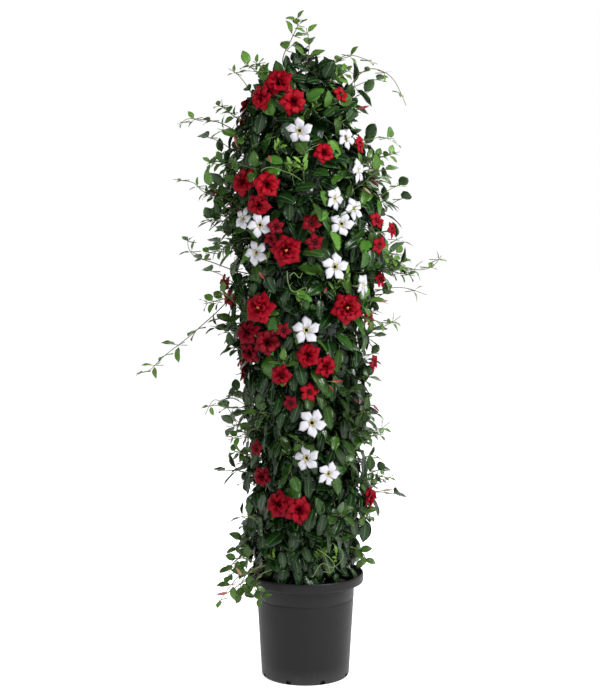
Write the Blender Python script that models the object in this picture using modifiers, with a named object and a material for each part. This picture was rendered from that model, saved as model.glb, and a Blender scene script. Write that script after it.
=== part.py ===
"""A mandevilla trained up a bundle of canes in a round nursery pot, in full flower.

Metres, +Z up. The origin is the centre of the pot's foot, on the ground.
Four twining vines share the pot. Each is one solid: a woody stem that stands in a
plain hole in the soil, its dense inner growth, and the leaves, shoots, buds and flower
stalks that grow out of it. Every flower, or bunch of flowers on one stalk, is a solid.
"""

import math
from typing import NamedTuple

import bmesh
import bpy
import numpy as np
from mathutils import Vector
from mathutils.bvhtree import BVHTree

# Driving sizes, in metres
POT_HEIGHT = 0.325
RIM_RADIUS = 0.180
RIM_DEPTH = 0.032
BODY_TOP_RADIUS = 0.1545
FOOT_RADIUS = 0.136
WALL = 0.003
POT_STEPS = 24
DRAIN_COUNT = 8
DRAIN_WIDTH = 0.016
DRAIN_HEIGHT = 0.014
DRAIN_REACH = 0.030
DRAIN_MIDDLE = 0.0105
FLOOR = 0.010
SOIL_TOP = 0.284
GAP = 0.0003
CANE_RADIUS = 0.006
CANE_CIRCLE = 0.016
CANE_TOP = 1.70
CANE_SUNK = 0.19
CANE_JOINT_EVERY = 0.21
CANE_FIRST_JOINT = 0.05
CANE_JOINT_SHIFT = 0.04
CANE_TURN = math.radians(30)
CANE_COUNT = 3
TIE_HEIGHTS = (0.62, 1.22)
TIE_CORD_RADIUS = 0.002
STEM_RADIUS = 0.0065
STEM_CIRCLE = 0.070
STEM_SUNK = 0.055
HOLE_PLAY = 0.0009
HOLE_SIDES = 8
HOLE_TOP = 0.36
CANE_SIDES = 6

# The vines
VINE_COUNT = 4
VINE_START = math.radians(-60)
VINE_TWIST = math.radians(200)
GROWTH_BOTTOM = 0.36
GROWTH_TOP = 1.90
LEAF_STAND = 0.036
STRAND_SHARE = 0.62
STRAND_SIDES = 7
LUMP_SHARE = 0.12
GROWTH_RINGS = 16

# Outer radius of the foliage, and how far its middle leans to the right, by height
COLUMN_SHAPE = (
    (0.30, 0.170, 0.000),
    (0.42, 0.190, -0.010),
    (0.55, 0.200, 0.015),
    (0.70, 0.190, 0.000),
    (0.85, 0.185, 0.000),
    (1.00, 0.190, 0.000),
    (1.13, 0.225, -0.030),
    (1.30, 0.245, 0.020),
    (1.45, 0.250, -0.010),
    (1.57, 0.235, -0.020),
    (1.68, 0.190, -0.030),
    (1.79, 0.165, -0.010),
    (1.86, 0.095, -0.010),
    (1.93, 0.040, 0.000),
)

# Leaves
LEAF_LENGTH = 0.098
LEAF_WIDTH = 0.061
LEAF_THICKNESS = 0.0022
LEAF_SINK = 0.006
LEAVES_PER_VINE = 54
LEAF_TRIES = 2800
LEAF_SWELL = 0.0010
SEED = 1907

# Where a column and a row of the photograph lie, for the places of flowers and shoots
AXIS_COLUMN = 305.5
FOOT_ROW = 675.0
METRES_PER_PIXEL = 0.00308
EYE_DISTANCE = 4.7
EYE_HEIGHT = 1.45

# Flowers
PETALS = 5
TUBE_LENGTH = 0.58
STALK_RADIUS = 0.0024
STALK_GAP = 0.0012
BRANCH_BACK = 0.008
PLAIN_BELOW = 0.0675
CLEAR_STEP = 0.006


class Flower(NamedTuple):
    """A flower by its place in the photograph, its width, and the way it faces."""

    group: str
    column: float
    row: float
    width: float
    side: float = 0.0
    rise: float = 0.1
    inset: float = 0.0
    double: bool = False


WHITE_FLOWERS = (
    Flower("white_bloom_01", 299, 130, 0.074, -0.1, -0.45),
    Flower("white_bloom_02", 346, 137, 0.062, 0.5, 0.2),
    Flower("white_bloom_03", 358, 169, 0.070, 1.6, 0.1),
    Flower("white_bloom_04", 335, 196, 0.066, 0.9, 0.0),
    Flower("white_bunch_05", 354, 206, 0.066, 0.7, 0.3),
    Flower("white_bunch_05", 341, 221, 0.068, -0.1, -0.2),
    Flower("white_bunch_06", 243, 215, 0.064, -0.7, 0.3),
    Flower("white_bunch_06", 260, 222, 0.068, 0.2, -0.1),
    Flower("white_bloom_07", 256, 249, 0.072, -0.3, 0.1),
    Flower("white_bloom_08", 335, 263, 0.076, 0.2, 0.1),
    Flower("white_bloom_09", 363, 282, 0.072, 1.8, 0.0),
    Flower("white_bloom_10", 306, 326, 0.078, 0.0, 0.1),
    Flower("white_bloom_11", 312, 419, 0.080, 0.1, 0.1),
    Flower("white_bloom_12", 306, 455, 0.074, -0.2, -0.1),
    Flower("white_bloom_13", 329, 471, 0.070, 0.4, -0.1),
)
RED_FLOWERS = (
    Flower("red_bunch_01", 279, 82, 0.072, 0.0, 0.5),
    Flower("red_bunch_01", 262, 97, 0.066, -0.8, 0.1),
    Flower("red_bunch_01", 293, 101, 0.068, 0.5, -0.1),
    Flower("red_bloom_02", 340, 94, 0.050, 0.5, 0.6),
    Flower("red_bloom_03", 322, 151, 0.060, 0.2, 0.2),
    Flower("red_bloom_04", 359, 143, 0.056, 1.6, 0.2),
    Flower("red_bunch_05", 244, 179, 0.070, -0.6, 0.3),
    Flower("red_bunch_05", 267, 182, 0.066, 0.3, 0.3),
    Flower("red_bunch_05", 259, 202, 0.060, 0.0, -0.4, 0.010),
    Flower("red_bunch_06", 276, 223, 0.048, 0.3, 0.3, 0.010),
    Flower("red_bunch_06", 271, 236, 0.044, -0.1, -0.3, 0.010),
    Flower("red_bunch_07", 311, 220, 0.056, 0.0, 0.4, 0.012),
    Flower("red_bunch_07", 314, 239, 0.052, 0.1, -0.3, 0.012),
    Flower("red_bloom_08", 287, 247, 0.088, 0.0, 0.1, 0.0, True),
    Flower("red_bunch_09", 376, 217, 0.050, 0.4, 0.5),
    Flower("red_bunch_09", 391, 227, 0.050, 1.2, 0.3),
    Flower("red_bunch_09", 378, 242, 0.054, 0.4, -0.4),
    Flower("red_bunch_10", 225, 279, 0.054, -0.9, 0.3),
    Flower("red_bunch_10", 229, 294, 0.050, -0.5, -0.2),
    Flower("red_bloom_11", 260, 304, 0.090, -0.2, 0.2, 0.0, True),
    Flower("red_bloom_12", 343, 304, 0.090, -0.1, 0.2, 0.0, True),
    Flower("red_bloom_13", 380, 276, 0.048, 0.8, 0.3),
    Flower("red_bloom_14", 369, 314, 0.046, 0.6, 0.1),
    Flower("red_bunch_15", 248, 328, 0.066, -0.4, 0.4),
    Flower("red_bunch_15", 267, 338, 0.064, 0.4, 0.1),
    Flower("red_bunch_15", 250, 348, 0.060, -0.4, -0.3),
    Flower("red_bloom_16", 283, 326, 0.044, 0.0, 0.1, 0.010),
    Flower("red_bunch_17", 308, 351, 0.062, -0.3, 0.2),
    Flower("red_bunch_17", 325, 362, 0.058, 0.4, -0.1),
    Flower("red_bloom_18", 281, 371, 0.062, -0.1, 0.0),
    Flower("red_bloom_19", 374, 359, 0.054, 1.6, 0.0),
    Flower("red_bloom_20", 309, 388, 0.054, 0.2, 0.1),
    Flower("red_bloom_21", 290, 399, 0.046, -0.3, -0.1),
    Flower("red_bloom_22", 256, 444, 0.048, -0.5, 0.1, 0.008),
    Flower("red_bloom_23", 262, 473, 0.060, -0.3, 0.0, 0.008),
    Flower("red_bunch_24", 279, 501, 0.072, -0.5, 0.2),
    Flower("red_bunch_24", 299, 507, 0.070, 0.4, 0.1),
    Flower("red_bloom_25", 370, 495, 0.064, 1.7, 0.0),
)

# The far side carries flowers by rule: a turn round the back for each, going up
BACK_FLOWER_NODES = 9
BACK_LOWEST = 0.52
BACK_HIGHEST = 1.74
BACK_WIDTH = 0.072
# Where the flowers of a bunch sit about its middle: a turn in radians, and a rise
BACK_WHITE_BUNCH = ((-0.13, 0.022), (0.15, -0.020))
BACK_RED_BUNCH = ((-0.14, 0.028), (0.16, 0.010), (-0.01, -0.038))


class Shoot(NamedTuple):
    """A long thin shoot: the columns and rows it runs through in the photograph, how far
    in front of the middle of the plant it starts and ends, and its leaves."""

    route: tuple
    near: float
    far: float
    leaf_pairs: int
    leaf_length: float


SHOOTS = (
    Shoot(((292, 84), (283, 62), (292, 40), (298, 27), (296, 20)), 0.02, 0.0, 4, 0.052),
    Shoot(((306, 86), (307, 62), (309, 46), (306, 30)), 0.03, 0.03, 4, 0.058),
    Shoot(((318, 92), (326, 72), (341, 58), (354, 57), (376, 65)), 0.03, 0.02, 3, 0.042),
    Shoot(
        ((344, 104), (352, 82), (366, 70), (381, 72), (393, 82), (404, 105)),
        0.02, 0.04, 3, 0.030,
    ),
    Shoot(((262, 108), (250, 89), (240, 76), (230, 69)), 0.02, 0.02, 2, 0.034),
    Shoot(((246, 134), (222, 122), (206, 119), (190, 118), (181, 124)), 0.0, 0.0, 3, 0.034),
    Shoot(((232, 196), (207, 190), (194, 180), (175, 177)), 0.0, 0.02, 3, 0.032),
    Shoot(((240, 268), (214, 259), (197, 253), (190, 245), (189, 233)), 0.02, 0.0, 3, 0.042),
    Shoot(
        ((244, 286), (213, 312), (189, 333), (172, 346), (162, 354), (150, 366), (138, 369)),
        0.04, 0.10, 5, 0.050,
    ),
    Shoot(((232, 232), (218, 224), (204, 212)), 0.06, 0.06, 2, 0.036),
    Shoot(((250, 424), (236, 416), (226, 402), (214, 396), (205, 411)), 0.05, 0.05, 2, 0.040),
    Shoot(
        ((362, 270), (384, 267), (402, 265), (420, 266), (432, 262), (440, 252)),
        0.02, 0.0, 4, 0.044,
    ),
    Shoot(((364, 292), (384, 285), (404, 284), (426, 291)), 0.05, 0.05, 2, 0.048),
    Shoot(((350, 334), (369, 327), (386, 321), (400, 312)), 0.04, 0.04, 2, 0.040),
    Shoot(((352, 168), (372, 158), (398, 150)), 0.02, 0.0, 3, 0.040),
    Shoot(((346, 442), (364, 437), (376, 429), (390, 418)), 0.04, 0.04, 2, 0.044),
    Shoot(((354, 490), (372, 482), (384, 478), (397, 469)), 0.04, 0.04, 2, 0.034),
    Shoot(((262, 566), (240, 574), (226, 590), (216, 606)), 0.10, 0.13, 3, 0.052),
    Shoot(((322, 562), (330, 572), (322, 548), (316, 543)), 0.14, 0.17, 1, 0.022),
)
BACK_SHOOTS = 4
BACK_SHOOT_STEPS = ((-0.05, 0.0), (0.03, 0.03), (0.08, 0.04), (0.12, 0.02))
BACK_SHOOT_PAIRS = 3
BACK_SHOOT_LEAF = 0.042
SHOOT_RADIUS = 0.0022
SHOOT_TIP_RADIUS = 0.0012


class Bud(NamedTuple):
    """A flower bud by its place in the photograph, its length and the way it points."""

    column: float
    row: float
    length: float
    side: float
    rise: float


BUDS = (
    Bud(237, 140, 0.034, -0.4, 1.2),
    Bud(362, 107, 0.036, 1.6, 0.4),
    Bud(374, 180, 0.030, 0.9, -0.8),
    Bud(217, 190, 0.034, -1.6, 0.2),
    Bud(262, 272, 0.030, 0.6, -0.8),
    Bud(382, 297, 0.032, 1.6, 0.1),
    Bud(319, 385, 0.024, -0.3, -0.8),
    Bud(331, 384, 0.024, 0.5, -0.6),
    Bud(388, 487, 0.030, 1.4, 0.3),
    Bud(240, 572, 0.032, -1.0, 0.8),
    Bud(270, 157, 0.026, -0.2, 0.6),
    Bud(325, 286, 0.026, 0.2, 0.5),
)
BUD_SLIMNESS = 0.22

COLOURS = {
    "pot": ((0.034, 0.033, 0.038), 0.55),
    "soil": ((0.040, 0.026, 0.017), 0.95),
    "cane": ((0.48, 0.36, 0.17), 0.60),
    "tie": ((0.30, 0.25, 0.14), 0.80),
    "vine": ((0.035, 0.080, 0.022), 0.42),
    "red_petal": ((0.42, 0.008, 0.014), 0.50),
    "white_petal": ((0.86, 0.85, 0.80), 0.50),
}


def clear_scene():
    for thing in list(bpy.data.objects):
        bpy.data.objects.remove(thing, do_unlink=True)


def new_collection(name, hidden=False):
    collection = bpy.data.collections.new(name)
    bpy.context.scene.collection.children.link(collection)
    collection.hide_render = hidden
    return collection


def new_material(name):
    colour, roughness = COLOURS[name]
    material = bpy.data.materials.new(name)
    material.use_nodes = True
    shader = material.node_tree.nodes["Principled BSDF"]
    shader.inputs["Base Color"].default_value = (*colour, 1.0)
    shader.inputs["Roughness"].default_value = roughness
    shader.inputs["Metallic"].default_value = 0.0
    material.diffuse_color = (*colour, 1.0)
    return material


def new_object(name, mesh, collection, material=None):
    thing = bpy.data.objects.new(name, mesh)
    collection.objects.link(thing)
    if material:
        mesh.materials.append(material)
    return thing


def mesh_from(name, points, faces):
    mesh = bpy.data.meshes.new(name)
    mesh.from_pydata([tuple(map(float, point)) for point in points], [], faces)
    mesh.update()
    return mesh


def facing_out(mesh):
    """Turns every face of a closed mesh outwards."""
    shape = bmesh.new()
    shape.from_mesh(mesh)
    bmesh.ops.recalc_face_normals(shape, faces=shape.faces)
    shape.to_mesh(mesh)
    shape.free()
    return mesh


def turned(name, profile, steps, collection, material):
    """A profile of (radius, height) points turned once round the upright axis."""
    points = [(radius, 0.0, height) for radius, height in profile]
    mesh = bpy.data.meshes.new(name)
    mesh.from_pydata(points, [(i, i + 1) for i in range(len(points) - 1)], [])
    thing = new_object(name, mesh, collection, material)
    screw = thing.modifiers.new("turn", "SCREW")
    screw.angle = math.tau
    screw.steps = steps
    screw.render_steps = steps
    screw.use_merge_vertices = True
    screw.merge_threshold = 0.0001
    screw.use_smooth_shade = True
    return thing


def cylinder(name, radius, bottom, top, x, y, sides, collection):
    shape = bmesh.new()
    bmesh.ops.create_cone(
        shape, cap_ends=True, segments=sides, radius1=radius, radius2=radius, depth=top - bottom
    )
    bmesh.ops.translate(shape, verts=shape.verts, vec=(x, y, (top + bottom) / 2))
    mesh = bpy.data.meshes.new(name)
    shape.to_mesh(mesh)
    shape.free()
    return new_object(name, mesh, collection)


def stick_object(name, start, end, start_radius, end_radius, collection):
    """A straight three-sided stalk that tapers from one end to the other."""
    start, end = np.asarray(start, float), np.asarray(end, float)
    shape = bmesh.new()
    length = float(np.linalg.norm(end - start))
    bmesh.ops.create_cone(
        shape, cap_ends=True, segments=3, radius1=start_radius, radius2=end_radius, depth=length
    )
    turn = Vector((0, 0, 1)).rotation_difference(Vector(end - start)).to_matrix().to_4x4()
    bmesh.ops.transform(shape, matrix=turn, verts=shape.verts)
    bmesh.ops.translate(shape, verts=shape.verts, vec=Vector((start + end) / 2))
    mesh = bpy.data.meshes.new(name)
    shape.to_mesh(mesh)
    shape.free()
    return new_object(name, mesh, collection)


def cut(thing, cutters):
    modifier = thing.modifiers.new("cut", "BOOLEAN")
    modifier.operation = "DIFFERENCE"
    modifier.operand_type = "COLLECTION"
    modifier.collection = cutters
    modifier.solver = "EXACT"


def apply_modifiers(thing):
    graph = bpy.context.evaluated_depsgraph_get()
    mesh = bpy.data.meshes.new_from_object(thing.evaluated_get(graph))
    thing.modifiers.clear()
    thing.data = mesh


def fuse(thing, pieces):
    """Joins every piece in the collection to the object, and removes the pieces."""
    modifier = thing.modifiers.new("fuse", "BOOLEAN")
    modifier.operation = "UNION"
    modifier.operand_type = "COLLECTION"
    modifier.collection = pieces
    modifier.solver = "MANIFOLD"
    apply_modifiers(thing)
    for piece in list(pieces.objects):
        bpy.data.objects.remove(piece, do_unlink=True)
    bpy.data.collections.remove(pieces)


def triangles_of(mesh):
    mesh.calc_loop_triangles()
    points = [vertex.co.copy() for vertex in mesh.vertices]
    return points, [tuple(face.vertices) for face in mesh.loop_triangles]


class Crowd:
    """The shapes placed so far, each with its sphere, to keep new ones from crossing them."""

    def __init__(self):
        self.shapes = []

    def add(self, points, faces, owner):
        cloud = np.array([tuple(point) for point in points])
        middle = (cloud.min(axis=0) + cloud.max(axis=0)) / 2
        reach = float(np.linalg.norm(cloud - middle, axis=1).max())
        tree = BVHTree.FromPolygons([tuple(map(float, p)) for p in cloud], faces)
        self.shapes.append((middle, reach, tree, owner))

    def hits(self, points, faces, owner=None):
        cloud = np.asarray(points)
        middle = (cloud.min(axis=0) + cloud.max(axis=0)) / 2
        reach = float(np.linalg.norm(cloud - middle, axis=1).max())
        tree = None
        for other_middle, other_reach, other_tree, other_owner in self.shapes:
            if other_owner == owner and owner is not None:
                continue
            if np.linalg.norm(middle - other_middle) > reach + other_reach:
                continue
            tree = tree or BVHTree.FromPolygons([tuple(map(float, p)) for p in cloud], faces)
            if tree.overlap(other_tree):
                return True
        return False


def column_radius(height, across=0.0):
    """The foliage's outer radius at a height, on the side whose direction has this X."""
    heights, radii, leans = np.array(COLUMN_SHAPE).T
    return float(np.interp(height, heights, radii) + across * np.interp(height, heights, leans))


def strand_heights():
    """The heights of the rings that a vine's inner growth is lofted through."""
    stem = [SOIL_TOP - STEM_SUNK, SOIL_TOP + 0.01, 0.325, GROWTH_BOTTOM, 0.385, 0.41, 0.45]
    growth = list(np.linspace(0.53, 1.70, GROWTH_RINGS - 4))
    return stem + growth + [1.75, 1.79, 1.825, 1.86, GROWTH_TOP]


def ring_of_strand(index, height):
    """Centre, radius and bearing of one vine's inner growth: a slow helix round the canes."""
    heights, radii, _ = np.array(COLUMN_SHAPE).T
    reach = float(np.interp(height, heights, radii)) - LEAF_STAND
    circle = max(reach, 0.012) / (1 + STRAND_SHARE)
    radius = STRAND_SHARE * circle
    low = min(max((height - SOIL_TOP - 0.03) / 0.10, 0.0), 1.0)
    low = low * low * (3 - 2 * low)
    circle = STEM_CIRCLE + (circle - STEM_CIRCLE) * low
    radius = STEM_RADIUS + (radius - STEM_RADIUS) * low
    turn = max(height - SOIL_TOP - 0.02, 0.0) / (GROWTH_TOP - SOIL_TOP)
    angle = VINE_START + index * math.tau / VINE_COUNT + VINE_TWIST * turn
    return np.array([circle * math.cos(angle), circle * math.sin(angle), height]), radius, angle


def strand(index, height):
    """The same between two rings, where the loft runs straight."""
    heights = strand_heights()
    level = max(i for i, low in enumerate(heights[:-1]) if low <= height or i == 0)
    low, high = heights[level], heights[level + 1]
    share = min(max((height - low) / (high - low), 0.0), 1.0)
    first, second = ring_of_strand(index, low), ring_of_strand(index, high)
    return tuple(a + (b - a) * share for a, b in zip(first, second))


def build_strand(index, collection, material):
    """The loft of lumpy rings up the helix, closed at both ends."""
    rings = []
    for level, height in enumerate(strand_heights()):
        centre, radius, angle = ring_of_strand(index, height)
        lumps = LUMP_SHARE if height > GROWTH_BOTTOM + 0.05 else 0.0
        for side in range(STRAND_SIDES):
            around = angle + math.tau * side / STRAND_SIDES
            swell = 1 - lumps + lumps * math.sin(2.3 * level + 4.0 * side + index)
            step = radius * swell * np.array([math.cos(around), math.sin(around), 0.0])
            rings.append(centre + step)
    count = len(strand_heights())
    faces = [tuple(reversed(range(STRAND_SIDES)))]
    for level in range(count - 1):
        for side in range(STRAND_SIDES):
            after = (side + 1) % STRAND_SIDES
            low, high = level * STRAND_SIDES, (level + 1) * STRAND_SIDES
            faces.append((low + side, low + after, high + after, high + side))
    faces.append(tuple(range((count - 1) * STRAND_SIDES, count * STRAND_SIDES)))
    mesh = mesh_from(f"vine_{index + 1}", rings, faces)
    return new_object(f"vine_{index + 1}", mesh, collection, material)


LEAF_FACES = (
    (0, 4, 1), (4, 5, 1), (5, 7, 1), (7, 6, 1), (6, 3, 1), (3, 0, 1),
    (0, 2, 4), (4, 2, 5), (5, 2, 7), (7, 2, 6), (6, 2, 3), (3, 2, 0),
)  # fmt: skip


def leaf_points(base, along, up, length, width, swell=0.0):
    """The eight corners of a pointed leaf, folded a little along its midrib and arched.

    0 is the base and 7 the tip. 1 and 2 are the midrib's top and underside. 3 and 4 are the
    edges at a third of the length, and 6 and 5 the edges at two thirds. Both faces are
    split alike, and the blade thins from its midrib to its edge."""
    across = np.cross(along, up)
    half = LEAF_THICKNESS / 2 + swell
    arch = 0.07 * length
    fold = 0.09 * width

    def at(share, out, lift):
        return base + along * (share * length) + across * (out * width) + up * lift

    return np.array(
        [
            at(0.0, 0.0, 0.0),
            at(0.5, 0.0, arch + half),
            at(0.5, 0.0, arch - half),
            at(0.33, -0.50, arch + fold),
            at(0.33, 0.50, arch + fold),
            at(0.70, 0.38, 0.5 * arch + fold),
            at(0.70, -0.38, 0.5 * arch + fold),
            at(1.0, 0.0, -0.35 * arch),
        ]
    )


def unit(vector):
    return vector / np.linalg.norm(vector)


def leaf_frame(radial, along, tilt):
    """The leaf's upper side: outwards and up, square to its length."""
    wanted = 0.55 * radial + np.array([0.0, 0.0, 0.75]) + tilt
    return unit(wanted - along * float(np.dot(wanted, along)))


class Clearings:
    """The spaces in front of the open flowers, which leaves keep out of."""

    def __init__(self):
        self.lines = []

    def add(self, centre, facing, radius):
        self.lines.append((centre, facing, radius))

    def hides(self, points):
        for centre, facing, radius in self.lines:
            offset = points - centre
            ahead = offset @ facing
            beside = np.linalg.norm(offset - ahead[:, None] * facing, axis=1)
            if ((ahead > 0.002) & (ahead < 0.16) & (beside < 0.82 * radius)).any():
                return True
        return False


def draw_leaf(rng, index):
    """One leaf's place by the seeded draws: its root on a vine, and how it hangs."""
    height = GROWTH_BOTTOM - 0.01 + (GROWTH_TOP - 0.03 - GROWTH_BOTTOM) * rng.random()
    spread = math.radians(88) * (2 * rng.random() - 1)
    size = 0.84 + 0.30 * rng.random()
    out = 0.22 + 0.42 * rng.random()
    swing = math.radians(85) * (2 * rng.random() - 1)
    tilt = 0.28 * (rng.random(3) - 0.5)
    centre, radius, angle = strand(index, height)
    outward = np.array([math.cos(angle + spread), math.sin(angle + spread), 0.0])
    root = centre + outward * max(0.62 * radius - LEAF_SINK, 0.25 * radius)
    radial = unit(np.array([root[0], root[1], 0.0]))
    radial = unit(radial + 0.6 * outward)
    length = LEAF_LENGTH * size * (0.80 if height > 1.74 else 1.0)
    width = LEAF_WIDTH * size * (0.80 if height > 1.74 else 1.0)
    room = 1.06 * column_radius(height, radial[0]) - math.hypot(root[0], root[1])
    out = min(out, max(room / length, 0.20))
    lift = 1.0 if height > 1.70 else -1.0
    tangent = np.array([-radial[1], radial[0], 0.0])
    rest = math.sin(swing) * tangent + lift * math.cos(swing) * np.array([0.0, 0.0, 1.0])
    along = unit(out * radial + math.sqrt(1 - out * out) * rest)
    return root, along, leaf_frame(radial, along, tilt), length, width


def grow_leaves(crowd, clearings):
    """Leaves for each vine in turn, one a round, so that none crosses what stands already."""
    rng = np.random.default_rng(SEED)
    leaves = [[] for _ in range(VINE_COUNT)]
    for trial in range(LEAF_TRIES):
        index = trial % VINE_COUNT
        root, along, up, length, width = draw_leaf(rng, index)
        if len(leaves[index]) >= LEAVES_PER_VINE:
            continue
        test = leaf_points(root, along, up, length, width, LEAF_SWELL)
        if clearings.hides(test[1:]):
            continue
        if crowd.hits(test, LEAF_FACES, f"core_{index}"):
            continue
        crowd.add(test, LEAF_FACES, None)
        leaves[index].append(leaf_points(root, along, up, length, width))
    return leaves


def on_column(column, row, inset):
    """The point of the foliage's outer surface that shows at this place of the photograph."""
    depth = 0.15
    for _ in range(6):
        share = (EYE_DISTANCE - depth) / EYE_DISTANCE
        x = (column - AXIS_COLUMN) * METRES_PER_PIXEL * share
        z = EYE_HEIGHT + ((FOOT_ROW - row) * METRES_PER_PIXEL - EYE_HEIGHT) * share
        radius = column_radius(z, math.copysign(1.0, x)) - inset
        depth = math.sqrt(max(radius * radius - x * x, 0.03**2))
    return np.array([x, -depth, z])


def at_depth(column, row, depth):
    share = (EYE_DISTANCE - depth) / EYE_DISTANCE
    x = (column - AXIS_COLUMN) * METRES_PER_PIXEL * share
    z = EYE_HEIGHT + ((FOOT_ROW - row) * METRES_PER_PIXEL - EYE_HEIGHT) * share
    return np.array([x, -depth, z])


def frame_about(facing):
    """Two directions square to the one given, the first of them level."""
    level = np.cross(np.array([0.0, 0.0, 1.0]), facing)
    level = unit(level) if np.linalg.norm(level) > 1e-6 else np.array([1.0, 0.0, 0.0])
    return level, np.cross(facing, level)


def bloom_shape(centre, facing, radius, spin=0.0):
    """A trumpet as one solid: five skewed petals round a sunk throat, and its tube.

    The rim runs notch, lifted corner, drooping tip for each petal. Behind it the tube
    narrows to a point. A small flower has no ring between its rim and its throat."""
    level, upright = frame_about(facing)
    small = 2 * radius < PLAIN_BELOW

    def at(angle, out, ahead):
        around = math.cos(angle) * level + math.sin(angle) * upright
        return centre + radius * (out * around + ahead * facing)

    corners = ((-30, 0.46, -0.06), (4, 1.00, 0.0)) if small else (
        (-36, 0.44, -0.08), (-19, 0.90, 0.09), (12, 1.00, -0.12),
    )  # fmt: skip
    points = []
    for petal in range(PETALS):
        middle = spin + math.tau * petal / PETALS
        points += [at(middle + math.radians(turn), out, ahead) for turn, out, ahead in corners]
    rim = len(points)
    per_petal = len(corners)
    faces = []
    if small:
        points += [at(0.0, 0.0, -0.36), at(0.0, 0.0, -2 * TUBE_LENGTH)]
        for first in range(rim):
            second = (first + 1) % rim
            faces += [(rim, first, second), (rim + 1, second, first)]
        return np.array(points), faces
    for out, ahead in ((0.17, -0.10), (0.21, -0.30)):
        points += [at(spin + math.tau * petal / PETALS, out, ahead) for petal in range(PETALS)]
    points += [at(0.0, 0.0, -0.42), at(0.0, 0.0, -2 * TUBE_LENGTH)]
    throat, collar = rim, rim + PETALS
    pit, foot = rim + 2 * PETALS, rim + 2 * PETALS + 1
    for petal in range(PETALS):
        after = (petal + 1) % PETALS
        edge = [per_petal * petal + i for i in range(per_petal)] + [per_petal * after]
        for first, second in zip(edge, edge[1:]):
            faces.append((throat + petal, first, second))
            faces.append((collar + petal, second, first))
        faces.append((throat + petal, edge[-1], throat + after))
        faces.append((collar + after, edge[-1], collar + petal))
        faces.append((throat + petal, throat + after, pit))
        faces.append((collar + petal, foot, collar + after))
    return np.array(points), faces


def ruffle_shape(centre, facing, radius, spin):
    """The inner layer of a double flower: a thick five-pointed star dished to its middle."""
    level, upright = frame_about(facing)
    points = []
    for corner in range(2 * PETALS):
        angle = spin + math.pi * corner / PETALS
        out, ahead = (1.0, 0.28) if corner % 2 else (0.50, 0.10)
        around = math.cos(angle) * level + math.sin(angle) * upright
        points.append(centre + radius * (out * around + ahead * facing))
    points.append(centre + radius * 0.16 * facing)
    points.append(centre - radius * 0.95 * facing)
    faces = []
    for corner in range(2 * PETALS):
        after = (corner + 1) % (2 * PETALS)
        faces.append((2 * PETALS, corner, after))
        faces.append((2 * PETALS + 1, after, corner))
    return np.array(points), faces


def section_guide():
    """The three-sided section of a shoot, one metre in radius, which each curve scales."""
    curve = bpy.data.curves.new("section", "CURVE")
    spline = curve.splines.new("POLY")
    spline.points.add(2)
    for corner, place in enumerate(spline.points):
        turn = math.tau * corner / 3
        place.co = (math.cos(turn), math.sin(turn), 0.0, 1.0)
    spline.use_cyclic_u = True
    guide = bpy.data.objects.new("section", curve)
    bpy.context.scene.collection.objects.link(guide)
    guide.hide_render = True
    return guide


def shoot_object(name, points, radii, section, collection):
    """A thin shoot along the points, made a closed mesh."""
    curve = bpy.data.curves.new(name, "CURVE")
    curve.dimensions = "3D"
    curve.bevel_mode = "OBJECT"
    curve.bevel_object = section
    curve.use_fill_caps = True
    spline = curve.splines.new("POLY")
    spline.points.add(len(points) - 1)
    for place, point, radius in zip(spline.points, points, radii):
        place.co = (*map(float, point), 1.0)
        place.radius = radius
    guide = bpy.data.objects.new(name, curve)
    bpy.context.scene.collection.objects.link(guide)
    graph = bpy.context.evaluated_depsgraph_get()
    mesh = bpy.data.meshes.new_from_object(guide.evaluated_get(graph))
    bpy.data.objects.remove(guide, do_unlink=True)
    bpy.data.curves.remove(curve)
    shape = bmesh.new()
    shape.from_mesh(mesh)
    bmesh.ops.remove_doubles(shape, verts=shape.verts, dist=1e-6)
    bmesh.ops.recalc_face_normals(shape, faces=shape.faces)
    shape.to_mesh(mesh)
    shape.free()
    return new_object(name, mesh, collection)


def nearest_vine(point):
    heights = [strand(index, point[2])[0] for index in range(VINE_COUNT)]
    return int(np.argmin([np.linalg.norm(centre - point) for centre in heights]))


def stalk_route(foot, facing):
    """The vine that a flower's stalk grows from, the point inside it, and the stalk's end."""
    height = min(max(foot[2] - 0.012, GROWTH_BOTTOM + 0.03), GROWTH_TOP - 0.10)
    index = nearest_vine(np.array([foot[0], foot[1], height]))
    centre, _, _ = strand(index, height)
    return index, centre, foot - STALK_GAP * unit(foot - centre)


def back_flowers():
    """Flowers on the far side, by rule: evenly up the plant, swinging from side to side."""
    found = []
    rng = np.random.default_rng(SEED + 1)
    for step in range(BACK_FLOWER_NODES):
        share = step / (BACK_FLOWER_NODES - 1)
        height = BACK_LOWEST + (BACK_HIGHEST - BACK_LOWEST) * share
        bearing = math.radians(90 + 74 * math.sin(2.4 * step + 0.6))
        white = step % 3 == 1
        whites = (step + 1) // 3
        name = f"white_bunch_{14 + whites}" if white else f"red_bunch_{26 + step - whites}"
        for sideways, rise in BACK_WHITE_BUNCH if white else BACK_RED_BUNCH:
            turn = bearing + sideways
            away = np.array([math.cos(turn), math.sin(turn), 0.0])
            place = away * column_radius(height + rise, away[0])
            place[2] = height + rise
            aim = unit(away + np.array([0.0, 0.0, 0.25 + 6 * rise]) + 0.15 * (rng.random(3) - 0.5))
            width = BACK_WIDTH * (0.85 + 0.2 * rng.random())
            found.append((name, place, aim, width, False))
    return found


def front_flowers():
    found = []
    for flower in WHITE_FLOWERS + RED_FLOWERS:
        place = on_column(flower.column, flower.row, flower.inset)
        radial = unit(np.array([place[0], place[1], 0.0]))
        view = unit(np.array([0.45 * radial[0], -1.0, 0.0]))
        facing = unit(view + np.array([flower.side, 0.0, flower.rise]))
        found.append((flower.group, place, facing, flower.width, flower.double))
    return found


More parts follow.
